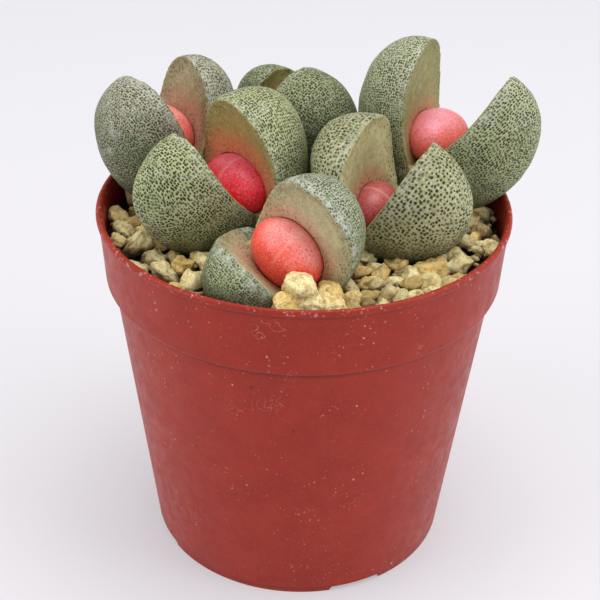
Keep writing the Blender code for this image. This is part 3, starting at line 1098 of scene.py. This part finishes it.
def plastic_finish(pot):
    """Moulded terracotta-coloured plastic with dust specks, rubbed marks, and painted shade under the lip, under the
    band's step and low on the foot.
    """
    look = Finish("terracotta plastic", Roughness=0.42, Specular_IOR_Level=0.28)
    mottle = look.noise(9, 4, 0.6)
    colour = look.blend(look.span(mottle, 0.3, 0.7), pot.colour, pot.colour_dark)
    fine = look.noise(0.5, 2, 0.5)
    colour = look.blend(look.span(fine, 0.45, 0.8, 0, 0.25), colour, pot.colour_light)

    # Painted shade: dark lines under the lip and under the band's step, and a darker line low on the foot
    level = look.level()
    shade_breakup = look.span(look.noise(4, 3, 0.6), 0.25, 0.65, 0.35, 1)
    step = pot.height - pot.band_height
    under_step = look.times(
        look.span(level, step - 0.0024, step - 0.0009), look.span(level, step + 0.0002, step - 0.0003)
    )
    under_lip = look.times(
        look.span(level, pot.height - 0.0023, pot.height - 0.0018),
        look.span(level, pot.height - 0.0013, pot.height - 0.0016),
    )
    foot_line = look.times(look.span(level, 0.0007, 0.0011), look.span(level, 0.0019, 0.0013), 0.7)
    painted_shade = look.maths("MAXIMUM", look.maths("MAXIMUM", under_step, under_lip), foot_line)
    painted_shade = look.times(painted_shade, shade_breakup, 0.55)
    colour = look.blend(painted_shade, colour, tuple(0.3 * part for part in pot.colour_dark))

    # Specks of dust and soil, thicker in places
    crowd = look.span(look.noise(11, 3, 0.6), 0.4, 0.62, 0.3, 1)
    for gap, reach, share, strength in ((3.2, 0.1, 0.45, 0.75), (1.8, 0.16, 0.35, 0.5), (1.05, 0.22, 0.5, 0.4)):
        specks = look.cells(gap, look.warped(0.35, 0.4))
        limit = look.times(look.chance(specks, share, 1.0), crowd, reach)
        speck = look.maths("LESS_THAN", specks.outputs["Distance"], limit)
        colour = look.blend(look.times(speck, strength), colour, pot.dust)
    soil = look.cells(6.5, look.warped(0.8, 0.4))
    speck = look.maths("LESS_THAN", soil.outputs["Distance"], look.times(look.chance(soil, 0.7, 1.0), 0.07))
    colour = look.blend(look.times(speck, 0.7), colour, paint(74, 34, 26))

    # Fine curling scratches in patches, one of them below the lip at the front
    curl = look.node("ShaderNodeTexNoise", {"Vector": look.spot, "Scale": 420.0, "Detail": 1.0})
    line = look.maths("ABSOLUTE", look.maths("SUBTRACT", curl.outputs["Fac"], 0.5))
    line = look.span(line, 0.012, 0.004)
    apart = look.node("ShaderNodeVectorMath", {0: look.spot, 1: pot.scuff}, operation="DISTANCE")
    patch = look.span(apart.outputs["Value"], 0.0042, 0.002)
    patch = look.maths("MAXIMUM", patch, look.times(look.span(look.noise(14, 2, 0.5), 0.62, 0.72), 0.5))
    colour = look.blend(look.times(line, patch, 0.7), colour, pot.dust)

    lip = look.span(level, pot.height - 0.0016, pot.height - 0.0006)
    rub = look.span(look.noise(1.1, 3, 0.7, look.warped(2.5, 0.8)), 0.58, 0.66)
    colour = look.blend(look.times(lip, rub, 0.6), colour, pot.dust)
    look.drive("Base Color", colour)
    look.drive("Roughness", look.span(look.noise(3, 3, 0.6), 0.3, 0.7, 0.36, 0.5))
    relief = look.bump(look.noise(0.35, 2, 0.5), 0.012, 0.6)
    look.drive("Normal", look.bump(look.noise(6, 2, 0.5), 0.04, 0.5, relief))
    return look.material


def mix_finish():
    """Dark, crumbly potting mix."""
    look = Finish("potting mix", Roughness=0.95, Specular_IOR_Level=0.2)
    colour = look.blend(look.span(look.noise(1.6, 5, 0.7), 0.35, 0.7), paint(38, 28, 22), paint(92, 72, 52))
    look.drive("Base Color", colour)
    look.drive("Normal", look.bump(look.noise(1.2, 5, 0.7), 0.6))
    return look.material


def bed_finish():
    """Grit dust and broken bits, dark where light doesn't reach."""
    look = Finish("grit dust", Roughness=0.95, Specular_IOR_Level=0.2)
    colour = look.blend(look.span(look.noise(1.4, 5, 0.7), 0.4, 0.65), paint(20, 14, 9), paint(56, 42, 24))
    look.drive("Base Color", colour)
    look.drive("Normal", look.bump(look.noise(0.7, 5, 0.7), 0.5))
    return look.material


def pumice_finish(grit, name, shade):
    """Pumice chips: cream to tan, some brown, with stained patches and pores; painted highlight and shade on the grain,
    painted shade in the pores, and painted shade with some dust low down.
    """
    look = Finish(name, Roughness=0.9, Specular_IOR_Level=0.25)
    tone = look.held("chip_tone")
    colour = look.blend(look.span(tone, 0.1, 0.6), grit.tan, grit.cream)
    colour = look.blend(look.span(tone, 0.86, 0.97, 0, 0.8), colour, grit.brown)
    patch = look.noise(1.8, 5, 0.65, look.warped(2.0, 0.6))
    colour = look.blend(look.span(patch, 0.42, 0.68, 0, 0.65), colour, grit.stain)
    # Painted highlight on the raised grain and painted shade in its hollows: the same noise bumps the surface
    grain = look.noise(0.75, 4, 0.75)
    colour = look.blend(look.span(grain, 0.53, 0.66, 0, 0.55), colour, paint(255, 246, 196))
    colour = look.blend(look.span(grain, 0.46, 0.34, 0, 0.45), colour, paint(124, 88, 38))
    # Pores, darkened with painted shade in the pits
    pores = look.cells(0.5, look.warped(0.8, 0.25))
    pore = look.span(pores.outputs["Distance"], 0.36, 0.2)
    pore = look.times(pore, look.span(look.noise(1.3, 2, 0.5), 0.42, 0.56))
    colour = look.blend(look.times(pore, 0.3), colour, paint(110, 82, 44))
    # Painted shade with some dust: darker the lower a chip lies, and darker all over by the given shade for a shaded
    # copy
    deep = look.maths("ADD", look.level(), look.span(look.noise(2.5, 2, 0.5), 0.3, 0.7, -0.0006, 0.0006))
    deep = look.maths("MAXIMUM", shade, look.span(deep, 0.0784, 0.0762, 0, 0.85))
    colour = look.blend(deep, colour, paint(72, 52, 28))
    look.drive("Base Color", colour)
    relief = look.bump(look.noise(0.4, 2, 0.6), 0.1, 1.0, look.bump(grain, 0.4))
    sunk = look.maths("SUBTRACT", 1.0, pore)
    look.drive("Normal", look.bump(sunk, 0.12, 0.8, relief))
    return look.material


def skin_finish(plant, look_of, leaves):
    """Old leaf skin: a chalky grey-green with sunken dark dots, and a plainer, blushed cleft face."""
    look = Finish(
        "leaf skin " + plant.name.replace("_", " "),
        Roughness=0.62,
        Specular_IOR_Level=0.14,
        Subsurface_Weight=0.05,
        Subsurface_Radius=(0.6, 0.8, 0.3),
        Subsurface_Scale=0.001,
    )
    rim = look.held("rim")
    ragged = look.span(look.noise(0.9, 3, 0.6), 0.25, 0.75, -0.35, 0.35)
    face = look.span(look.maths("ADD", look.held("cleft_face"), ragged), 0.3, 0.75)
    out = look.maths("ADD", look.held("skin_out"), look.span(look.noise(1.5, 2, 0.5), 0.3, 0.7, -0.05, 0.05))
    surface = look.choose(
        look.maths("GREATER_THAN", out, MAP_BORDER),
        look.held("skin_disc", "Vector"),
        look.held("skin_ring", "Vector"),
    )
    base = plant.at[2] * MM
    top = base + max(plant.first.long, plant.second.long) * MM

    cloud = look.noise(5, 5, 0.7)
    dull = tuple(0.66 * part for part in look_of.skin)
    skin = look.blend(look.span(cloud, 0.3, 0.68), dull, look_of.skin)
    green = look.noise(9, 3, 0.5, look.warped(6, 2))
    skin = look.blend(look.span(green, 0.52, 0.7, 0, 0.4), skin, leaves.fresh_green)
    crown = look.span(look.level(), base + 0.006, top)
    crown = look.times(crown, look.span(look.noise(3.5, 4, 0.6), 0.25, 0.6, 0.45, 1))
    skin = look.blend(crown, skin, look_of.crown)

    # Pale flecks between the dots: painted sparkle highlights
    sparkle_cells = look.cells(look_of.dot_gap * 0.6, look.warped(1.3, 0.12, surface), True)
    painted_sparkle = look.times(
        look.span(sparkle_cells.outputs["Distance"], 0.38, 0.2), look.chance(sparkle_cells, 0.3, 0.6)
    )
    skin = look.blend(look.times(painted_sparkle, 0.65), skin, leaves.bloom_and_sparkle)

    # Dark dots, the smaller ones between the large
    dots = look.cells(look_of.dot_gap, look.warped(1.6, 0.2, surface), True, 0.62)
    own = look.node("ShaderNodeSeparateColor", {0: dots.outputs["Color"]}).outputs[1]
    radius = look_of.dot_size / look_of.dot_gap
    limit = look.span(own, 0.0, 1.0, radius * 0.78, radius * 1.22)
    edge = look.maths("SUBTRACT", dots.outputs["Distance"], limit)
    dot = look.span(edge, 0.08, -0.06)
    small = look.cells(look_of.dot_gap * 0.55, look.warped(1.1, 0.1, surface), True)
    small_dot = look.times(
        look.span(small.outputs["Distance"], 0.24, 0.12), look.chance(small, 0.5, 0.7)
    )
    dot = look.maths("MAXIMUM", dot, look.times(small_dot, 0.6))
    fade = look.span(look.noise(2.8, 2, 0.5), 0.3, 0.55, 0.6, 1.0)
    halo = look.times(look.span(edge, 0.24, 0.0), 0.4)
    skin = look.blend(halo, skin, leaves.fresh_green)
    skin = look.blend(look.times(dot, fade, 0.96), skin, DOT)

    # Chalk, thickest along the rims
    powder = look.noise(1.6, 4, 0.7)
    chalk = look.times(look.span(rim, 4.0, 0.3), look.span(powder, 0.4, 0.64))
    patch = look.times(look.span(look.noise(5.5, 3, 0.6), 0.56, 0.72), look.span(powder, 0.35, 0.6))
    chalk = look.maths("MAXIMUM", chalk, look.times(patch, 0.6))
    skin = look.blend(look.times(chalk, look_of.chalk), skin, leaves.bloom_and_sparkle)

    stain = look.maths("ADD", look.level(), look.span(look.noise(3, 4, 0.6), 0.2, 0.8, -0.0025, 0.0025))
    skin = look.blend(look.span(stain, 0.0855, 0.0785, 0, 0.65), skin, SOIL_STAIN)

    # The cleft's faces
    from_young = look.held("from_young")
    near = look.span(from_young, look_of.reach, 0.2, 0, 0.85)
    mottle = look.span(look.noise(2.2, 5, 0.65), 0.3, 0.7)
    inner = look.blend(mottle, tuple(0.72 * part for part in look_of.face), look_of.face)
    inner = look.blend(
        look.times(near, look.span(look.noise(5, 2, 0.5), 0.2, 0.6, 0.6, 1)), inner, look_of.blush
    )
    olive = look.times(look.span(rim, 5.0, 0.0), look.span(look.noise(1.8, 4, 0.7), 0.35, 0.65, 0.15, 0.8))
    inner = look.blend(olive, inner, tuple(0.62 * part for part in look_of.skin))
    freckles = look.cells(look_of.dot_gap * 1.1, look.warped(1.2, 0.2))
    freckle = look.times(
        look.span(freckles.outputs["Distance"], 0.42, 0.26),
        look.chance(freckles, 0.1, 0.35),
        look.maths("MAXIMUM", look.span(rim, 5.5, 1.0, 0.3, 1), look.span(from_young, 3.0, 0.5, 0, 0.85)),
    )
    inner = look.blend(freckle, inner, look.blend(near, paint(78, 76, 40), paint(134, 70, 48)))
    streak = look.noise(1.1, 4, 0.7, look.warped(2.0, 0.8))
    inner = look.blend(look.span(streak, 0.55, 0.75, 0, 0.4), inner, paint(226, 216, 178))
    grainy = look.span(look.noise(0.7, 3, 0.6), 0.3, 0.7, 0, 0.45)
    inner = look.blend(grainy, inner, tuple(0.66 * part for part in look_of.face))

    colour = look.blend(face, skin, inner)
    edge_line = look.times(look.span(rim, 0.7, 0.15), look.span(from_young, 4.5, 1.5))
    colour = look.blend(look.times(edge_line, 0.75), colour, MARGIN)
    look.drive("Base Color", colour)
    look.drive("Roughness", look.span(dot, 0, 1, 0.6, 0.66))

    sunk = look.span(edge, 0.22, -0.08, 1.0, 0.0)
    back_share = look.maths("SUBTRACT", 1.0, face)
    sunk = look.maths("MULTIPLY_ADD", sunk, back_share, face)
    grain = look.bump(look.noise(0.22, 3, 0.6), 0.02, 0.8)
    dents = look.bump(sunk, 0.035, 0.8, grain)
    look.drive("Normal", look.bump(look.noise(1.8, 4, 0.6), 0.1, 0.7, dents))
    return look.material


def young_finish(plant, look_of):
    """Young leaf skin: smooth, fleshy and coral, with a painted highlight on top, very fine dark dots and pale painted
    glints.
    """
    look = Finish(
        "young skin " + plant.name.replace("_", " "),
        Roughness=0.4,
        Specular_IOR_Level=0.45,
        Subsurface_Weight=0.18,
        Subsurface_Radius=(1.0, 0.35, 0.25),
        Subsurface_Scale=0.0015,
    )
    # Painted highlight: paler towards the top side
    upper = look.held("top_side")
    cloud = look.noise(4.5, 3, 0.5)
    lift = look.maths("ADD", look.times(upper, 0.8), look.span(cloud, 0.2, 0.8, -0.25, 0.25))
    colour = look.blend(look.span(lift, 0.1, 1.15), look_of.young, look_of.young_light)
    speckle = look.noise(0.42, 2, 0.8)
    dark = tuple(0.6 * part for part in look_of.young)
    colour = look.blend(look.span(speckle, 0.49, 0.32, 0, 0.7), colour, dark)
    # Pale speckle: painted glints standing in for the skin's fine sparkle
    pale = tuple(0.2 + 0.8 * part for part in look_of.young_light)
    colour = look.blend(look.span(speckle, 0.53, 0.7, 0, 0.45), colour, pale)
    colour = look.blend(look.times(look.held("seam"), 0.35), colour, paint(250, 190, 170))
    look.drive("Base Color", colour)
    fine = look.bump(look.noise(0.35, 3, 0.6), 0.018, 0.8)
    look.drive("Normal", look.bump(look.noise(2.2, 3, 0.5), 0.06, 0.6, fine))
    return look.material


def paper_finish(stage):
    """The pale sweep that the pot stands on; it glows a little, painted light that lifts the shadows on it."""
    look = Finish("pale paper", Roughness=0.9, Specular_IOR_Level=0.1)
    look.shader.inputs["Base Color"].default_value = (*stage.floor_colour, 1)
    look.shader.inputs["Emission Color"].default_value = (*paint(240, 238, 242), 1)
    look.shader.inputs["Emission Strength"].default_value = stage.glow
    return look.material


# Settings


class SPLITROCK_PG_pot(bpy.types.PropertyGroup):
    height: FloatProperty(name="Height", description="From the foot to the lip", default=0.0826, unit="LENGTH")
    rim_radius: FloatProperty(name="Rim radius", description="Radius over the lip", default=0.045, unit="LENGTH")
    lip_proud: FloatProperty(name="Lip proud", description="How far the lip stands out", default=0.0006, unit="LENGTH")
    band_height: FloatProperty(name="Band height", description="From the lip to the step", default=0.0159, unit="LENGTH")
    band_draft: FloatProperty(name="Band draft", description="How much the band narrows downwards", default=0.0009, unit="LENGTH")
    step_in: FloatProperty(name="Step", description="How far the body stands in below the band", default=0.0017, unit="LENGTH")
    foot_radius: FloatProperty(name="Foot radius", description="Radius of the foot ring", default=0.0338, unit="LENGTH")
    wall: FloatProperty(name="Wall", description="Thickness of the plastic", default=0.001, unit="LENGTH")
    floor_low: FloatProperty(name="Floor height", description="The floor's underside above the ground", default=0.0022, unit="LENGTH")
    pad_radius: FloatProperty(name="Pad radius", description="Radius of the pad under the floor's middle", default=0.007, unit="LENGTH")
    notch_height: FloatProperty(name="Notch height", description="Height of the notches in the foot ring", default=0.0012, unit="LENGTH")
    notch_turn: FloatProperty(name="Notch width", description="How far a notch runs round the foot, in degrees", default=21.0)
    colour: FloatVectorProperty(name="Colour", description="The plastic", subtype="COLOR", size=3, default=paint(153, 39, 21))
    colour_dark: FloatVectorProperty(name="Dark colour", description="The plastic's darker clouds", subtype="COLOR", size=3, default=paint(143, 33, 18))
    colour_light: FloatVectorProperty(name="Light colour", description="The plastic's pale grain", subtype="COLOR", size=3, default=paint(180, 72, 52))
    dust: FloatVectorProperty(name="Dust", description="Specks and rubbed marks", subtype="COLOR", size=3, default=paint(216, 160, 142))
    scuff: FloatVectorProperty(name="Scuff", description="Where the scratched patch is", subtype="XYZ", size=3, default=(-0.0065, -0.0446, 0.0772), unit="LENGTH")


class SPLITROCK_PG_grit(bpy.types.PropertyGroup):
    spacing: FloatProperty(name="Spacing", description="The nearest that two chips stand", default=0.0043, unit="LENGTH")
    smallest: FloatProperty(name="Smallest", description="Half size of the smallest chip", default=0.0019, unit="LENGTH")
    largest: FloatProperty(name="Largest", description="Half size of the largest chip", default=0.0029, unit="LENGTH")
    small_chips: IntProperty(name="Small chips", description="How many small chips lie between", default=95, min=0)
    crumbs: IntProperty(name="Crumbs", description="How many crumbs lie between the chips", default=170, min=0)
    seed: IntProperty(name="Seed", description="Starts the random places", default=21)
    tan: FloatVectorProperty(name="Tan", description="The plain chips", subtype="COLOR", size=3, default=paint(246, 214, 136))
    cream: FloatVectorProperty(name="Cream", description="The palest chips", subtype="COLOR", size=3, default=paint(255, 242, 182))
    brown: FloatVectorProperty(name="Brown", description="The few brown chips", subtype="COLOR", size=3, default=paint(146, 106, 60))
    stain: FloatVectorProperty(name="Stain", description="Darker patches on a chip", subtype="COLOR", size=3, default=paint(192, 152, 82))


class SPLITROCK_PG_leaves(bpy.types.PropertyGroup):
    skin_detail: FloatProperty(name="Skin detail", description="Size of the skin's mesh", default=0.00038, unit="LENGTH")
    rim_rounding: IntProperty(name="Rim rounding", description="Smoothing steps over the rims", default=12, min=1)
    waviness: FloatProperty(name="Waviness", description="Strength of the slow lumps in the skin", default=0.001, unit="LENGTH")
    fresh_green: FloatVectorProperty(name="Fresh green", description="Greener patches", subtype="COLOR", size=3, default=paint(104, 130, 82))
    bloom_and_sparkle: FloatVectorProperty(name="Bloom", description="Chalky bloom and sparkle", subtype="COLOR", size=3, default=paint(212, 214, 200))


class SPLITROCK_PG_stage(bpy.types.PropertyGroup):
    floor_colour: FloatVectorProperty(name="Floor", description="The sweep's colour", subtype="COLOR", size=3, default=paint(180, 179, 181))
    # The floor glow is painted light: the paper glows on its own to lift its shadows, with no light from below
    glow: FloatProperty(name="Floor glow", description="Light that the paper lets through from below", default=0.37, min=0)
    sky: FloatProperty(name="Room light", description="Strength of the light from all round", default=0.8, min=0)
    key: FloatProperty(name="Top light", description="Strength of the soft light above", default=3.0, min=0, unit="POWER")
    sides: FloatProperty(name="Side lights", description="Strength of the soft light on each side", default=2.2, min=0, unit="POWER")


# Operators


class SPLITROCK_OT_pot(bpy.types.Operator):
    """Makes the nursery pot with its rolled lip, stepped band, notched foot and drain holes"""

    bl_idname = "splitrock.pot"
    bl_label = "Pot"

    def execute(self, context):
        pot = context.scene.splitrock_pot
        made = turned("pot_look", pot_outline(pot), 240)
        cutters = [notch_cutter(pot, math.radians(-66.5 + 90 * number)) for number in range(4)]
        for number in range(6):
            turn = math.tau * number / 6
            centre = (20 * math.cos(turn), 20 * math.sin(turn))
            cutters.append(make_mesh("drain_cutter", *cone(0, 6, 3.5, 3.5, centre, 36)))
        cut_away(made, cutters)
        smooth_shade(made, 35)
        dress(made, plastic_finish(pot), "pot_plastic", "pot")
        return {"FINISHED"}


class SPLITROCK_OT_mix(bpy.types.Operator):
    """Makes the potting mix, which shows only through the drain holes"""

    bl_idname = "splitrock.mix"
    bl_label = "Potting mix"

    def execute(self, context):
        pot = context.scene.splitrock_pot
        low = FLOOR_TOP + GAP
        heights = [low, 20, 40, 60, 65, 67, MIX_TOP]
        outline = [(0, low), (10, low), (20, low)]
        outline += [(inner_radius(pot, height) - GAP, height) for height in heights]
        outline += [(20, MIX_TOP), (0, MIX_TOP)]
        made = turned("potting_mix_look", outline, 96)
        smooth_shade(made, 40)
        dress(made, mix_finish(), "potting_mix", "potting_mix")
        return {"FINISHED"}


class SPLITROCK_OT_grit(bpy.types.Operator):
    """Scatters the pumice chips and crumbs over their bed, clear of the plants"""

    bl_idname = "splitrock.grit"
    bl_label = "Grit"

    def execute(self, context):
        pot = context.scene.splitrock_pot
        grit = context.scene.splitrock_grit
        rooms = plant_rooms()
        draw = random.Random(grit.seed)
        pumice = pumice_finish(grit, "pumice", 0.0)
        # The small chips and crumbs get a copy of the pumice darkened all over: painted shade
        lower = pumice_finish(grit, "lower pumice", 0.3)
        bed = bed_object(pot)
        dress(bed, bed_finish(), "grit", "grit")
        shapes = [chip_shape(f"chip_{number}", 4, draw, 16) for number in range(9)]
        places = chip_places(pot, grit, rooms)
        chips = scattered("grit_chips", places, shapes, grit.seed, pumice)
        shapes = [chip_shape(f"small_chip_{number}", 3, draw, 6) for number in range(8)]
        small = crumb_places(pot, grit, rooms, places, grit.small_chips, 1.0, 1.8, grit.seed + 1)
        small_chips = scattered("grit_small_chips", small, shapes, grit.seed + 2, lower)
        shapes = [chip_shape(f"crumb_{number}", 2, draw, 0) for number in range(6)]
        bits = crumb_places(pot, grit, rooms, places + small, grit.crumbs, 0.4, 0.9, grit.seed + 3)
        crumbs = scattered("grit_crumbs", bits, shapes, grit.seed + 4, lower)
        for made, finish in ((chips, pumice), (small_chips, lower), (crumbs, lower)):
            keep_inside(made, pot)
            dress(made, finish, "grit", "grit")
        return {"FINISHED"}


class SPLITROCK_OT_old_leaves(bpy.types.Operator):
    """Makes each plant's pair of old leaves with its dotted skin and open cleft"""

    bl_idname = "splitrock.old_leaves"
    bl_label = "Old leaves"

    def execute(self, context):
        leaves = context.scene.splitrock_leaves
        for number, plant in enumerate(PLANTS):
            made = old_leaves_object(plant, leaves, number)
            finish = skin_finish(plant, LOOKS[plant.name], leaves)
            dress(made, finish, "leaf_skin", "old_leaves_" + plant.name)
        return {"FINISHED"}


class SPLITROCK_OT_new_leaves(bpy.types.Operator):
    """Makes the young coral pair that sits in each plant's cleft"""

    bl_idname = "splitrock.new_leaves"
    bl_label = "New leaves"

    def execute(self, context):
        for number, plant in enumerate(PLANTS):
            made = new_leaves_object(plant, number)
            finish = young_finish(plant, LOOKS[plant.name])
            dress(made, finish, "new_leaf_skin", "new_leaves_" + plant.name)
        return {"FINISHED"}


class SPLITROCK_OT_stage(bpy.types.Operator):
    """Sets the pale floor, the soft light and the camera"""

    bl_idname = "splitrock.stage"
    bl_label = "Stage"

    def execute(self, context):
        stage = context.scene.splitrock_stage
        profile = [(-2.0, 0.0), (0.9, 0.0)]
        for step in range(1, 25):
            turn = math.pi / 2 * step / 24
            profile.append((0.9 + 0.8 * math.sin(turn), 0.8 - 0.8 * math.cos(turn)))
        profile.append((1.7, 3.0))
        points = [(side * 3000, y / MM, z / MM) for y, z in profile for side in (-1, 1)]
        faces = [(2 * i, 2 * i + 1, 2 * i + 3, 2 * i + 2) for i in range(len(profile) - 1)]
        floor = make_mesh("floor", points, faces)
        smooth_shade(floor)
        floor.data.materials.append(paper_finish(stage))

        world = bpy.data.worlds.new("room")
        world.use_nodes = True
        back = world.node_tree.nodes["Background"]
        back.inputs["Color"].default_value = (*paint(240, 241, 246), 1)
        back.inputs["Strength"].default_value = stage.sky
        context.scene.world = world
        self.lamp("top light", (0.1, 0.05, 0.8), 0.6, stage.key)
        self.lamp("left light", (-0.72, -0.25, 0.35), 0.5, stage.sides)
        self.lamp("right light", (0.72, -0.25, 0.35), 0.5, 1.05 * stage.sides)
        self.camera(context)
        context.scene.view_settings.view_transform = "Standard"
        return {"FINISHED"}

    def lamp(self, name, place, size, power):
        light = bpy.data.lights.new(name, "AREA")
        light.shape = "DISK"
        light.size = size
        light.energy = power
        lamp = bpy.data.objects.new(name, light)
        lamp.location = place
        lamp.rotation_euler = (Vector((0, 0, 0.08)) - lamp.location).to_track_quat("-Z", "Y").to_euler()
        bpy.context.scene.collection.objects.link(lamp)

    def camera(self, context):
        tilt = math.radians(32.06)
        roll = math.radians(1.19)
        back = Vector((0, -math.cos(tilt), math.sin(tilt)))
        right = Vector((1, 0, 0))
        up = right.cross(-back)
        across = math.cos(roll) * right + math.sin(roll) * up
        upright = -math.sin(roll) * right + math.cos(roll) * up
        data = bpy.data.cameras.new("camera")
        data.sensor_width = 36
        data.lens = 88.03
        data.clip_start = 0.01
        data.clip_end = 20
        camera = bpy.data.objects.new("camera", data)
        turn = Matrix((across, upright, back)).transposed()
        place = Vector((-0.0005, 0, 0.0572)) + back * 0.3316
        camera.matrix_world = Matrix.Translation(place) @ turn.to_4x4()
        context.scene.collection.objects.link(camera)
        context.scene.camera = camera


class SPLITROCK_PT_panel(bpy.types.Panel):
    """Lists the pieces of the potted split rock and their settings"""

    bl_idname = "SPLITROCK_PT_panel"
    bl_label = "Potted split rock"
    bl_space_type = "VIEW_3D"
    bl_region_type = "UI"
    bl_category = "Split rock"

    def draw(self, context):
        for group, operators in PANEL_ROWS:
            box = self.layout.box()
            settings = getattr(context.scene, group)
            for name in settings.__annotations__:
                box.prop(settings, name)
            for operator in operators:
                box.operator(operator.bl_idname)


SETTINGS = {
    "splitrock_pot": SPLITROCK_PG_pot,
    "splitrock_grit": SPLITROCK_PG_grit,
    "splitrock_leaves": SPLITROCK_PG_leaves,
    "splitrock_stage": SPLITROCK_PG_stage,
}
PANEL_ROWS = (
    ("splitrock_pot", (SPLITROCK_OT_pot, SPLITROCK_OT_mix)),
    ("splitrock_grit", (SPLITROCK_OT_grit,)),
    ("splitrock_leaves", (SPLITROCK_OT_old_leaves, SPLITROCK_OT_new_leaves)),
    ("splitrock_stage", (SPLITROCK_OT_stage,)),
)
OPERATORS = tuple(operator for _, operators in PANEL_ROWS for operator in operators)


def register():
    for made in (*SETTINGS.values(), *OPERATORS, SPLITROCK_PT_panel):
        bpy.utils.register_class(made)
    for name, group in SETTINGS.items():
        setattr(bpy.types.Scene, name, PointerProperty(type=group))


def unregister():
    for name in SETTINGS:
        delattr(bpy.types.Scene, name)
    for made in (SPLITROCK_PT_panel, *reversed(OPERATORS), *reversed(SETTINGS.values())):
        bpy.utils.unregister_class(made)


def main():
    register()
    bpy.ops.splitrock.pot()
    bpy.ops.splitrock.mix()
    bpy.ops.splitrock.grit()
    bpy.ops.splitrock.old_leaves()
    bpy.ops.splitrock.new_leaves()
    bpy.ops.splitrock.stage()


if __name__ == "__main__":
    main()
